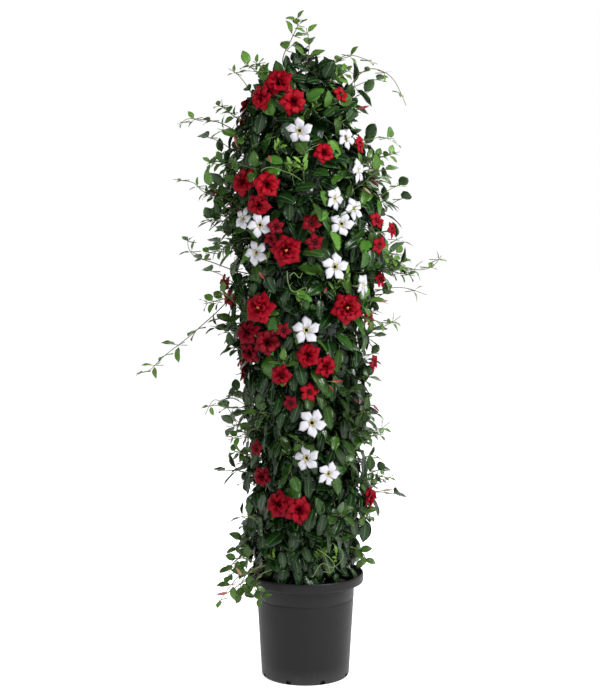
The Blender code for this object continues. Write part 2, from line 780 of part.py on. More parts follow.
def flower_pieces(place, facing, width, double, spin):
    pieces = [bloom_shape(place, facing, width / 2, spin)]
    if double:
        pieces.append(ruffle_shape(place + 0.0015 * facing, facing, 0.31 * width, spin + 0.35))
    return pieces


def flower_foot(place, facing, width):
    return place - facing * (TUBE_LENGTH * width)


def bunch_foot(flowers):
    """The foot of a flower's tube or, in a bunch, the point behind where its branches meet."""
    feet = [flower_foot(place, facing, width) for place, facing, width, _ in flowers]
    facing = unit(np.mean([facing for _, facing, _, _ in flowers], axis=0))
    if len(flowers) == 1:
        return feet[0], facing
    return np.mean(feet, axis=0) - (BRANCH_BACK + STALK_RADIUS) * facing, facing


def bunch_branches(flowers):
    """Both ends of each branch, from the bunch's foot to inside the tube it carries."""
    foot, facing = bunch_foot(flowers)
    start = foot + STALK_RADIUS * facing
    found = []
    for place, aim, width, _ in flowers:
        found.append((start, flower_foot(place, aim, width) + 0.010 * aim))
    return found


def branch_test(start, end):
    """A slim wedge along a branch, to test its way."""
    level, upright = frame_about(unit(end - start))
    sides = [STALK_RADIUS * 1.5 * level, STALK_RADIUS * 1.5 * upright]
    points = [start - sides[0], start + sides[0], start + sides[1], end]
    return np.array(points), [(0, 1, 2), (0, 3, 1), (1, 3, 2), (2, 3, 0)]


def open_flowers(crowd, clearings):
    """Places each bunch, moved out along its way until it crosses nothing placed before."""
    bunches = {}
    for name, place, facing, width, double in front_flowers() + back_flowers():
        bunches.setdefault(name, []).append([place, facing, width, double])
    for turn, (name, flowers) in enumerate(bunches.items()):
        for _ in range(16):
            pieces = [
                piece
                for order, (place, facing, width, double) in enumerate(flowers)
                for piece in flower_pieces(place, facing, width, double, 0.7 * turn + 1.9 * order)
            ]
            if len(flowers) > 1:
                pieces += [branch_test(*branch) for branch in bunch_branches(flowers)]
            if not any(crowd.hits(points, faces) for points, faces in pieces):
                break
            away = unit(np.mean([[f[0][0], f[0][1], 0.0] for f in flowers], axis=0))
            for flower in flowers:
                flower[0] = flower[0] + CLEAR_STEP * away
        for points, faces in pieces:
            crowd.add(points, faces, None)
        for place, facing, width, _ in flowers:
            clearings.add(place, facing, width / 2)
    return bunches


def build_flowers(bunches, parts, materials, crowd):
    """The flower solids, and for each the foot that its stalk grows up to."""
    feet = []
    for turn, (name, flowers) in enumerate(bunches.items()):
        material = materials["white_petal" if name.startswith("white") else "red_petal"]
        pieces = new_collection(f"{name}_pieces", True)
        shapes = [
            piece
            for order, (place, facing, width, double) in enumerate(flowers)
            for piece in flower_pieces(place, facing, width, double, 0.7 * turn + 1.9 * order)
        ]
        first, *others = [facing_out(mesh_from(name, *shape)) for shape in shapes]
        thing = new_object(name, first, parts, material)
        for mesh in others:
            new_object("layer", mesh, pieces)
        foot, facing = bunch_foot(flowers)
        if len(flowers) > 1:
            for start, end in bunch_branches(flowers):
                stick_object("branch", start, end, STALK_RADIUS, 0.8 * STALK_RADIUS, pieces)
        if pieces.objects:
            fuse(thing, pieces)
        crowd.add(*triangles_of(thing.data), None)
        feet.append((foot, facing))
    return feet


def bud_object(name, tip_end, pointing, length, collection):
    """A spindle-shaped bud from its foot along the way it points."""
    ball = bmesh.new()
    bmesh.ops.create_uvsphere(ball, u_segments=4, v_segments=3, radius=0.5)
    turn = Vector((0, 0, 1)).rotation_difference(Vector(pointing)).to_matrix().to_4x4()
    for vertex in ball.verts:
        slim = BUD_SLIMNESS * (1.0 - 0.5 * vertex.co.z)
        vertex.co = Vector((vertex.co.x * slim, vertex.co.y * slim, vertex.co.z)) * length
    bmesh.ops.transform(ball, matrix=turn, verts=ball.verts)
    bmesh.ops.translate(ball, verts=ball.verts, vec=Vector(tip_end))
    mesh = bpy.data.meshes.new(name)
    ball.to_mesh(mesh)
    ball.free()
    return new_object(name, mesh, collection)


def grow_buds(pieces, crowd):
    for bud in BUDS:
        place = on_column(bud.column, bud.row, 0.0)
        pointing = unit(np.array([bud.side, -0.6, bud.rise]))
        foot = place - 0.40 * bud.length * pointing
        index, root, _ = stalk_route(foot, pointing)
        stalk = stick_object(
            "bud_stalk", root, foot + 0.15 * bud.length * pointing, STALK_RADIUS,
            0.7 * STALK_RADIUS, pieces[index],
        )  # fmt: skip
        spindle = bud_object("bud", place, pointing, bud.length, pieces[index])
        for thing in (stalk, spindle):
            crowd.add(*triangles_of(thing.data), None)


def smooth_route(points, count):
    """Catmull-Rom through the points, as so many points."""
    line = np.array([points[0], *points, points[-1]])
    found = []
    for share in np.linspace(0, len(points) - 1, count):
        i = min(int(share), len(points) - 2)
        t = share - i
        a, b, c, d = line[i : i + 4]
        square = 2 * a - 5 * b + 4 * c - d
        cube = 3 * b - a - 3 * c + d
        found.append(0.5 * (2 * b + (c - a) * t + square * t**2 + cube * t**3))
    return np.array(found)


def front_shoot_routes():
    found = []
    for shoot in SHOOTS:
        depths = np.linspace(shoot.near, shoot.far, len(shoot.route))
        places = [at_depth(c, r, d) for (c, r), d in zip(shoot.route, depths)]
        found.append((places, shoot.leaf_pairs, shoot.leaf_length))
    return found


def back_shoot_routes():
    """Shoots on the far side, between its flowers: each rises a little and nods over."""
    found = []
    for step in range(BACK_SHOOTS):
        height = 0.62 + 0.27 * step
        bearing = math.radians(90 - 62 * math.sin(1.7 * step + 2.2))
        away = np.array([math.cos(bearing), math.sin(bearing), 0.0])
        near = column_radius(height, away[0])
        places = [
            away * (near + out) + np.array([0.0, 0.0, height + rise]) for out, rise in BACK_SHOOT_STEPS
        ]
        found.append((places, BACK_SHOOT_PAIRS, BACK_SHOOT_LEAF))
    return found


def grow_shoots(pieces, crowd):
    """The shoots, rooted inside the nearest vine, with leaves in opposite pairs."""
    section = section_guide()
    for places, pairs, leaf_length in front_shoot_routes() + back_shoot_routes():
        height = min(max(places[0][2] - 0.02, GROWTH_BOTTOM + 0.03), GROWTH_TOP - 0.06)
        index = nearest_vine(np.array([places[0][0], places[0][1], height]))
        root, _, _ = strand(index, height)
        points = smooth_route([root, *places], len(places) + 1)
        radii = np.linspace(SHOOT_RADIUS, SHOOT_TIP_RADIUS, len(points))
        shoot = shoot_object("shoot", points, radii, section, pieces[index])
        crowd.add(*triangles_of(shoot.data), None)
        first = len(points) // 3
        for pair in range(pairs):
            share = (pair + 0.6) / pairs
            at = first + share * (len(points) - 1.01 - first)
            i = int(at)
            node = points[i] + (points[i + 1] - points[i]) * (at - i)
            forward = unit(points[i + 1] - points[i])
            level, upright = frame_about(forward)
            turn = math.pi / 2 * (pair % 2) + 0.3
            beside = math.cos(turn) * level + math.sin(turn) * upright
            size = leaf_length * (1.1 - 0.55 * share)
            for hand in (1.0, -1.0):
                along = unit(hand * beside + 0.75 * forward + np.array([0.0, -0.1, -0.15]))
                radial = unit(np.array([node[0], node[1] - 0.15, 0.0]))
                up = leaf_frame(radial, along, np.zeros(3))
                corners = leaf_points(node, along, up, size, 0.50 * size)
                test = leaf_points(node + 0.006 * along, along, up, size, 0.50 * size, 0.0004)
                if crowd.hits(test, LEAF_FACES):
                    continue
                mesh = facing_out(mesh_from("shoot_leaf", corners, LEAF_FACES))
                new_object("shoot_leaf", mesh, pieces[index])
                crowd.add(test, LEAF_FACES, None)
    bpy.data.objects.remove(section, do_unlink=True)


def pot_profile():
    """From the middle of the floor up the inner wall, over the flared rim and down the
    outside to the middle of the flat underside."""
    under_rim = POT_HEIGHT - RIM_DEPTH
    return (
        (0.0, FLOOR),
        (0.126, FLOOR),
        (FOOT_RADIUS - WALL - 0.0015, FLOOR + 0.005),
        (BODY_TOP_RADIUS - 2 * WALL, under_rim - 0.012),
        (BODY_TOP_RADIUS - WALL + 0.0005, under_rim + 0.004),
        (RIM_RADIUS - 0.0120, under_rim + 0.006),
        (RIM_RADIUS - 0.0045, under_rim + 0.014),
        (RIM_RADIUS - 0.0045, POT_HEIGHT - 0.002),
        (RIM_RADIUS - 0.0030, POT_HEIGHT),
        (RIM_RADIUS - 0.0010, POT_HEIGHT - 0.001),
        (RIM_RADIUS, POT_HEIGHT - 0.006),
        (RIM_RADIUS - 0.0010, under_rim + 0.012),
        (RIM_RADIUS - 0.0090, under_rim + 0.002),
        (BODY_TOP_RADIUS, under_rim),
        (BODY_TOP_RADIUS - 0.0005, under_rim - 0.012),
        (BODY_TOP_RADIUS - 0.0035, under_rim - 0.014),
        (FOOT_RADIUS, 0.012),
        (FOOT_RADIUS - 0.0025, 0.003),
        (FOOT_RADIUS - 0.0065, 0.0),
        (0.0, 0.0),
    )


def build_pot(parts, cutters_parent, material):
    pot = turned("pot", pot_profile(), POT_STEPS, parts, material)
    cutters = bpy.data.collections.new("drain_cutters")
    cutters_parent.children.link(cutters)
    for step in range(DRAIN_COUNT):
        angle = math.tau * (step + 0.5) / DRAIN_COUNT
        shape = bmesh.new()
        bmesh.ops.create_cube(shape, size=1.0)
        bmesh.ops.scale(shape, verts=shape.verts, vec=(DRAIN_REACH, DRAIN_WIDTH, DRAIN_HEIGHT))
        bmesh.ops.translate(shape, verts=shape.verts, vec=(FOOT_RADIUS + 0.001, 0.0, DRAIN_MIDDLE))
        mesh = bpy.data.meshes.new("drain")
        shape.to_mesh(mesh)
        shape.free()
        drain = new_object("drain", mesh, cutters)
        drain.rotation_euler.z = angle
        drain.hide_render = True
        drain.display_type = "WIRE"
    cut(pot, cutters)
    return pot


def build_soil(parts, cutters_parent, material):
    """Soil that fills the pot, with a plain blind hole for each stem and cane."""
    edge = BODY_TOP_RADIUS - 2 * WALL - GAP - 0.0003
    foot = FOOT_RADIUS - WALL - 0.0015 - GAP
    profile = (
        (0.0, SOIL_TOP + 0.002),
        (0.100, SOIL_TOP + 0.001),
        (edge - 0.006, SOIL_TOP - 0.006),
        (edge - 0.0006, SOIL_TOP - 0.012),
        (foot - 0.0006, 0.0160),
        (0.1255, FLOOR + GAP),
        (0.0, FLOOR + GAP),
    )
    soil = turned("soil", profile, POT_STEPS, parts, material)
    cutters = bpy.data.collections.new("soil_cutters")
    cutters_parent.children.link(cutters)
    for index in range(VINE_COUNT):
        centre, _, _ = strand(index, SOIL_TOP)
        low = SOIL_TOP - STEM_SUNK - GAP
        x, y = centre[0], centre[1]
        cylinder("stem_hole", STEM_RADIUS + HOLE_PLAY, low, HOLE_TOP, x, y, HOLE_SIDES, cutters)
    for x, y in cane_places():
        low = SOIL_TOP - CANE_SUNK - GAP
        cylinder("cane_hole", CANE_RADIUS + HOLE_PLAY, low, HOLE_TOP, x, y, HOLE_SIDES, cutters)
    for hole in cutters.objects:
        hole.hide_render = True
        hole.display_type = "WIRE"
    cut(soil, cutters)
    return soil


def cane_places():
    turns = [CANE_TURN + math.tau * i / CANE_COUNT for i in range(CANE_COUNT)]
    return [(CANE_CIRCLE * math.cos(turn), CANE_CIRCLE * math.sin(turn)) for turn in turns]


def build_canes(parts, material):
    """Bamboo canes: plain rods, a little waisted above each joint."""
    canes = []
    for number, (x, y) in enumerate(cane_places()):
        bottom = SOIL_TOP - CANE_SUNK
        profile = [(0.0, CANE_TOP), (CANE_RADIUS * 0.86, CANE_TOP)]
        joint = CANE_TOP - CANE_FIRST_JOINT - CANE_JOINT_SHIFT * number
        while joint > SOIL_TOP + 0.05:
            profile.append((CANE_RADIUS * 0.88, joint + 0.006))
            profile.append((CANE_RADIUS, joint))
            joint -= CANE_JOINT_EVERY
        profile += [(CANE_RADIUS * 0.90, SOIL_TOP + 0.01), (CANE_RADIUS * 0.90, bottom), (0.0, bottom)]
        cane = turned(f"cane_{number + 1}", profile, CANE_SIDES, parts, material)
        cane.location = (x, y, 0.0)
        canes.append(cane)
    return canes


def build_ties(parts, material):
    """Two rings of cord round the three canes, which hold the bundle together."""
    ring = CANE_CIRCLE + CANE_RADIUS + GAP + 1.1 * TIE_CORD_RADIUS
    for number, height in enumerate(TIE_HEIGHTS):
        bpy.ops.mesh.primitive_torus_add(
            major_segments=14, minor_segments=4, major_radius=ring, minor_radius=TIE_CORD_RADIUS,
            location=(0.0, 0.0, height),
        )  # fmt: skip
        tie = bpy.context.object
        tie.name = f"tie_{number + 1}"
        tie.data.materials.append(material)
        for holder in list(tie.users_collection):
            holder.objects.unlink(tie)
        parts.objects.link(tie)


def main():
    clear_scene()
    parts = new_collection("mandevilla")
    cutters = new_collection("cutters", True)
    materials = {name: new_material(name) for name in COLOURS}
    build_pot(parts, cutters, materials["pot"])
    build_soil(parts, cutters, materials["soil"])
    crowd, clearings = Crowd(), Clearings()
    canes = build_canes(parts, materials["cane"])
    build_ties(parts, materials["tie"])
    bpy.context.view_layer.update()
    graph = bpy.context.evaluated_depsgraph_get()
    for name in ("pot", "soil", *(cane.name for cane in canes)):
        thing = bpy.data.objects[name]
        mesh = bpy.data.meshes.new_from_object(thing.evaluated_get(graph))
        mesh.transform(thing.matrix_world)
        crowd.add(*triangles_of(mesh), None)
        bpy.data.meshes.remove(mesh)
    vines = [build_strand(index, parts, materials["vine"]) for index in range(VINE_COUNT)]
    for index, vine in enumerate(vines):
        crowd.add(*triangles_of(vine.data), f"core_{index}")
    bunches = open_flowers(crowd, clearings)
    feet = build_flowers(bunches, parts, materials, crowd)
    pieces = [new_collection(f"vine_{index + 1}_pieces", True) for index in range(VINE_COUNT)]
    for foot, facing in feet:
        index, root, end = stalk_route(foot, facing)
        stalk = stick_object("stalk", root, end, 1.3 * STALK_RADIUS, STALK_RADIUS, pieces[index])
        crowd.add(*triangles_of(stalk.data), None)
    grow_buds(pieces, crowd)
    grow_shoots(pieces, crowd)
    for index, leaves in enumerate(grow_leaves(crowd, clearings)):
        print("vine", index + 1, "leaves", len(leaves))
        for corners in leaves:
            mesh = facing_out(mesh_from("leaf", corners, LEAF_FACES))
            new_object("leaf", mesh, pieces[index])
    for vine, collection in zip(vines, pieces):
        fuse(vine, collection)
        vine.data.materials.clear()
        vine.data.materials.append(materials["vine"])


main()
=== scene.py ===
import math

import bpy
import numpy as np
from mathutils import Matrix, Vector
from mathutils.kdtree import KDTree


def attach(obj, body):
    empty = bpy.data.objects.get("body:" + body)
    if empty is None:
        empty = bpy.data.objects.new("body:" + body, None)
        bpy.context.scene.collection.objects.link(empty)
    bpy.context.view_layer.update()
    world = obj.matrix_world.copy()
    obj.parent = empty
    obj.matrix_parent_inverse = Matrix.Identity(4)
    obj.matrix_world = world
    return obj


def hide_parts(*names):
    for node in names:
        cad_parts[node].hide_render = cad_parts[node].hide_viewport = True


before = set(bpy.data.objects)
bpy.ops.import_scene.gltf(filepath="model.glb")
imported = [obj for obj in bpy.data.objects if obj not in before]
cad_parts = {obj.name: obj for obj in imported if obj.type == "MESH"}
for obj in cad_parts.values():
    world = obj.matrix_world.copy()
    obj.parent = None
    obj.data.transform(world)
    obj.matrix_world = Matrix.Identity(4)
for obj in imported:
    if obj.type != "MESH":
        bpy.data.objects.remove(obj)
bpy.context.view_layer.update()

# A mandevilla in flower, grown up canes in a nursery pot. Metres, +Z up.
# The solids already say where every leaf, shoot and flower is. The same seeded draws are
# made again here, and a drawn leaf is kept where the solid has its tip.

# The photograph's frame: where a column and a row of it lie on the plant
photo = {
    "axisColumn": 305.5,
    "footRow": 675.0,
    "metresPerPixel": 0.00308,
    "eyeDistance": 4.7,
    "eyeHeight": 1.45,
    "height": 700,
}

soil = {
    "top": 0.284, "rings": 46, "spokes": 96, "crumb": 0.004,
    "waves": 26, "pitch": 60, "pitchRise": 900,  # ripples: how many, the widest's pitch, what the tightest adds
}

# The vines, as in the solids
vine = {
    "count": 4, "start": math.radians(-60), "twist": math.radians(200), "bottom": 0.36,
    "top": 1.90, "leafStand": 0.036, "share": 0.62, "stemRadius": 0.0065,
    "stemCircle": 0.070, "stemSunk": 0.055, "rings": 16,
}
columnShape = np.array((
    (0.30, 0.170, 0.000),
    (0.42, 0.190, -0.010),
    (0.55, 0.200, 0.015),
    (0.70, 0.190, 0.000),
    (0.85, 0.185, 0.000),
    (1.00, 0.190, 0.000),
    (1.13, 0.225, -0.030),
    (1.30, 0.245, 0.020),
    (1.45, 0.250, -0.010),
    (1.57, 0.235, -0.020),
    (1.68, 0.190, -0.030),
    (1.79, 0.165, -0.010),
    (1.86, 0.095, -0.010),
    (1.93, 0.040, 0.000),
))
leaf = {
    "length": 0.098, "width": 0.061, "sink": 0.006, "tries": 2800, "perVine": 54, "seed": 1907,
    "inner": 260, "along": 6, "across": 4,
}


# Meshes from arrays

def unit(vectors):
    vectors = np.asarray(vectors, float)
    return vectors / np.linalg.norm(vectors, axis=-1, keepdims=True)


def gridFaces(rows, columns, wrap=False):
    # Quads of a grid stored row by row; with wrap, the last column joins the first.
    row, column = np.meshgrid(
        np.arange(rows - 1), np.arange(columns if wrap else columns - 1), indexing="ij"
    )
    after = (column + 1) % columns
    corners = (row * columns + column, row * columns + after,
               (row + 1) * columns + after, (row + 1) * columns + column)
    return np.stack(corners, axis=-1).reshape(-1, 4)


class Heap:
    # Gathers the points, faces and point values of one piece before it becomes a mesh.

    def __init__(self):
        self.points, self.quads, self.values, self.count = [], [], {}, 0

    def add(self, points, quads, **values):
        points = np.asarray(points, float).reshape(-1, 3)
        self.points.append(points)
        self.quads.append(np.asarray(quads) + self.count)
        for name, value in values.items():
            filled = np.broadcast_to(np.asarray(value, float), (len(points),))
            self.values.setdefault(name, []).append((self.count, filled))
        self.count += len(points)

    def build(self, name, materials, slots=None):
        points = np.concatenate(self.points)
        quads = np.concatenate(self.quads)
        mesh = bpy.data.meshes.new(name)
        mesh.vertices.add(len(points))
        mesh.vertices.foreach_set("co", points.ravel())
        doubled = quads[:, 2] == quads[:, 3]  # a triangle is stored with its last corner twice
        sizes = np.where(doubled, 3, 4)
        starts = np.concatenate([[0], np.cumsum(sizes)[:-1]])
        keep = np.ones(quads.shape, bool)
        keep[doubled, 3] = False
        corners = quads[keep]
        mesh.loops.add(len(corners))
        mesh.loops.foreach_set("vertex_index", corners.astype(np.int32))
        mesh.polygons.add(len(quads))
        mesh.polygons.foreach_set("loop_start", starts.astype(np.int32))
        mesh.polygons.foreach_set("use_smooth", np.ones(len(quads), bool))
        for material in materials:
            mesh.materials.append(material)
        if slots is not None:
            mesh.polygons.foreach_set("material_index", np.concatenate(slots).astype(np.int32))
        for key, parts in self.values.items():
            column = np.zeros(len(points))
            for start, filled in parts:
                column[start : start + len(filled)] = filled
            mesh.attributes.new(key, "FLOAT", "POINT").data.foreach_set("value", column)
        mesh.update(calc_edges=True)
        mesh.validate()
        thing = bpy.data.objects.new(name, mesh)
        bpy.context.scene.collection.objects.link(thing)
        return thing


def triangles(a, b, c):
    return np.stack([a, b, c, c], axis=-1).reshape(-1, 4)


def framesAlong(path):
    # Two directions square to a path at each of its points, turned as little as can be.
    path = np.asarray(path, float)
    forward = unit(np.gradient(path, axis=0))
    side = np.cross(forward[0], (0.0, 0.0, 1.0))
    if np.linalg.norm(side) < 1e-3:
        side = np.array([1.0, 0.0, 0.0])
    sides = []
    for direction in forward:
        side = side - direction * (side @ direction)
        side = side / np.linalg.norm(side)
        sides.append(side)
    sides = np.array(sides)
    return forward, sides, np.cross(forward, sides)


def tubeAlong(path, radii, sides):
    # Circles of the given radii carried along a path: centre + r(cos a side + sin a other).
    # The two ends are closed with a point.
    path = np.asarray(path, float)
    forward, side, other = framesAlong(path)
    turn = np.linspace(0, math.tau, sides, endpoint=False)
    radii = np.broadcast_to(np.asarray(radii, float), (len(path),))
    circle = (np.cos(turn)[None, :, None] * side[:, None] + np.sin(turn)[None, :, None] * other[:, None])
    rings = path[:, None] + radii[:, None, None] * circle
    points = np.concatenate([rings.reshape(-1, 3), path[:1], path[-1:]])
    quads = gridFaces(len(path), sides, wrap=True)
    first = np.arange(sides)
    last = first + (len(path) - 1) * sides
    start, end = len(path) * sides, len(path) * sides + 1
    caps = np.concatenate([
        triangles(np.full(sides, start), np.roll(first, -1), first),
        triangles(np.full(sides, end), last, np.roll(last, -1)),
    ])
    return points, np.concatenate([quads, caps])


def turnedSurface(profile, steps):
    # A profile of (radius, height) turned round the upright axis, its ends on the axis.
    profile = np.asarray(profile, float)
    turn = np.linspace(0, math.tau, steps, endpoint=False)
    middle = profile[1:-1]
    rings = np.stack([
        middle[:, :1] * np.cos(turn), middle[:, :1] * np.sin(turn),
        np.broadcast_to(middle[:, 1:], (len(middle), steps)),
    ], axis=-1)
    points = np.concatenate([rings.reshape(-1, 3), [(0, 0, profile[0, 1])], [(0, 0, profile[-1, 1])]])
    quads = gridFaces(len(middle), steps, wrap=True)[:, ::-1]
    first = np.arange(steps)
    last = first + (len(middle) - 1) * steps
    start, end = len(middle) * steps, len(middle) * steps + 1
    caps = np.concatenate([
        triangles(np.full(steps, start), first, np.roll(first, -1)),
        triangles(np.full(steps, end), np.roll(last, -1), last),
    ])
    return points, np.concatenate([quads, caps])


def smoothRoute(points, count):
    # Catmull-Rom through the points: each stretch is a cubic set by its four neighbours.
    points = np.asarray(points, float)
    line = np.concatenate([points[:1], points, points[-1:]])
    share = np.linspace(0, len(points) - 1, count)
    i = np.minimum(share.astype(int), len(points) - 2)
    t = (share - i)[:, None]
    a, b, c, d = line[i], line[i + 1], line[i + 2], line[i + 3]
    cubic = 2 * a - 5 * b + 4 * c - d
    return 0.5 * (2 * b + (c - a) * t + cubic * t**2 + (3 * b - a - 3 * c + d) * t**3)


# Where the vines run, as in the solids

def columnRadius(height, across=0.0):
    heights, radii, leans = columnShape.T
    return float(np.interp(height, heights, radii) + across * np.interp(height, heights, leans))


def strandHeights():
    stem = [soil["top"] - vine["stemSunk"], soil["top"] + 0.01, 0.325, vine["bottom"], 0.385, 0.41, 0.45]
    growth = list(np.linspace(0.53, 1.70, vine["rings"] - 4))
    return stem + growth + [1.75, 1.79, 1.825, 1.86, vine["top"]]


def ringOfStrand(index, height):
    heights, radii, _ = columnShape.T
    reach = float(np.interp(height, heights, radii)) - vine["leafStand"]
    circle = max(reach, 0.012) / (1 + vine["share"])
    radius = vine["share"] * circle
    low = min(max((height - soil["top"] - 0.03) / 0.10, 0.0), 1.0)
    low = low * low * (3 - 2 * low)
    circle = vine["stemCircle"] + (circle - vine["stemCircle"]) * low
    radius = vine["stemRadius"] + (radius - vine["stemRadius"]) * low
    turn = max(height - soil["top"] - 0.02, 0.0) / (vine["top"] - soil["top"])
    angle = vine["start"] + index * math.tau / vine["count"] + vine["twist"] * turn
    return np.array([circle * math.cos(angle), circle * math.sin(angle), height]), radius, angle


ringTable = [
    [ringOfStrand(index, height) for height in strandHeights()] for index in range(vine["count"])
]


def strand(index, height):
    heights = strandHeights()
    level = max(i for i, low in enumerate(heights[:-1]) if low <= height or i == 0)
    low, high = heights[level], heights[level + 1]
    share = min(max((height - low) / (high - low), 0.0), 1.0)
    first, second = ringTable[index][level], ringTable[index][level + 1]
    return tuple(a + (b - a) * share for a, b in zip(first, second))


def nearestVine(point):
    centres = [strand(index, point[2])[0] for index in range(vine["count"])]
    return int(np.argmin([np.linalg.norm(centre - point) for centre in centres]))


def atDepth(column, row, depth):
    share = (photo["eyeDistance"] - depth) / photo["eyeDistance"]
    x = (column - photo["axisColumn"]) * photo["metresPerPixel"] * share
    up = (photo["footRow"] - row) * photo["metresPerPixel"]
    return np.array([x, -depth, photo["eyeHeight"] + (up - photo["eyeHeight"]) * share])


def onColumn(column, row, inset):
    depth = 0.15
    for _ in range(6):
        place = atDepth(column, row, depth)
        x, z = place[0], place[2]
        radius = columnRadius(z, math.copysign(1.0, x)) - inset
        depth = math.sqrt(max(radius * radius - x * x, 0.03**2))
    return np.array([x, -depth, z])


def frameAbout(facing):
    level = np.cross(np.array([0.0, 0.0, 1.0]), facing)
    level = unit(level) if np.linalg.norm(level) > 1e-6 else np.array([1.0, 0.0, 0.0])
    return level, np.cross(facing, level)


# Reading the solids: is there a corner of this node here?

def cornersOf(node):
    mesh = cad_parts[node].data
    spots = np.empty(len(mesh.vertices) * 3)
    mesh.vertices.foreach_get("co", spots)
    spots = np.unique(np.round(spots.reshape(-1, 3), 6), axis=0)
    tree = KDTree(len(spots))
    for number, spot in enumerate(spots):
        tree.insert(spot, number)
    tree.balance()
    return tree


def hasCorner(tree, spot, within=0.0002):
    return tree.find(Vector(spot))[2] < within


# Leaves

def leafFrame(radial, along, tilt):
    wanted = 0.55 * radial + np.array([0.0, 0.0, 0.75]) + tilt
    return unit(wanted - along * float(np.dot(wanted, along)))


def leafStands(tree, base, along, up, length, width):
    # The plain solid's leaf has an edge pair at 0.33 of its length, one at 0.70, and a tip.
    # Some of them may lie inside the growth, so two that are there are enough.
    across = np.cross(along, up)
    arch, fold = 0.07 * length, 0.09 * width
    places = ((0.33, -0.50, arch + fold), (0.33, 0.50, arch + fold), (0.70, 0.38, 0.5 * arch + fold),
              (0.70, -0.38, 0.5 * arch + fold), (1.0, 0.0, -0.35 * arch))
    spots = [base + along * (share * length) + across * (out * width) + up * lift
             for share, out, lift in places]
    return sum(hasCorner(tree, spot) for spot in spots) >= 2


def drawLeaf(rng, index):
    # One leaf's root and lie, by the same draws in the same order as the solids'.
    height = vine["bottom"] - 0.01 + (vine["top"] - 0.03 - vine["bottom"]) * rng.random()
    spread = math.radians(88) * (2 * rng.random() - 1)
    size = 0.84 + 0.30 * rng.random()
    out = 0.22 + 0.42 * rng.random()
    swing = math.radians(85) * (2 * rng.random() - 1)
    tilt = 0.28 * (rng.random(3) - 0.5)
    centre, radius, angle = strand(index, height)
    outward = np.array([math.cos(angle + spread), math.sin(angle + spread), 0.0])
    root = centre + outward * max(0.62 * radius - leaf["sink"], 0.25 * radius)
    radial = unit(np.array([root[0], root[1], 0.0]))
    radial = unit(radial + 0.6 * outward)
    length = leaf["length"] * size * (0.80 if height > 1.74 else 1.0)
    width = leaf["width"] * size * (0.80 if height > 1.74 else 1.0)
    room = 1.06 * columnRadius(height, radial[0]) - math.hypot(root[0], root[1])
    out = min(out, max(room / length, 0.20))
    lift = 1.0 if height > 1.70 else -1.0
    tangent = np.array([-radial[1], radial[0], 0.0])
    rest = math.sin(swing) * tangent + lift * math.cos(swing) * np.array([0.0, 0.0, 1.0])
    along = unit(out * radial + math.sqrt(1 - out * out) * rest)
    return root, along, leafFrame(radial, along, tilt), length, width


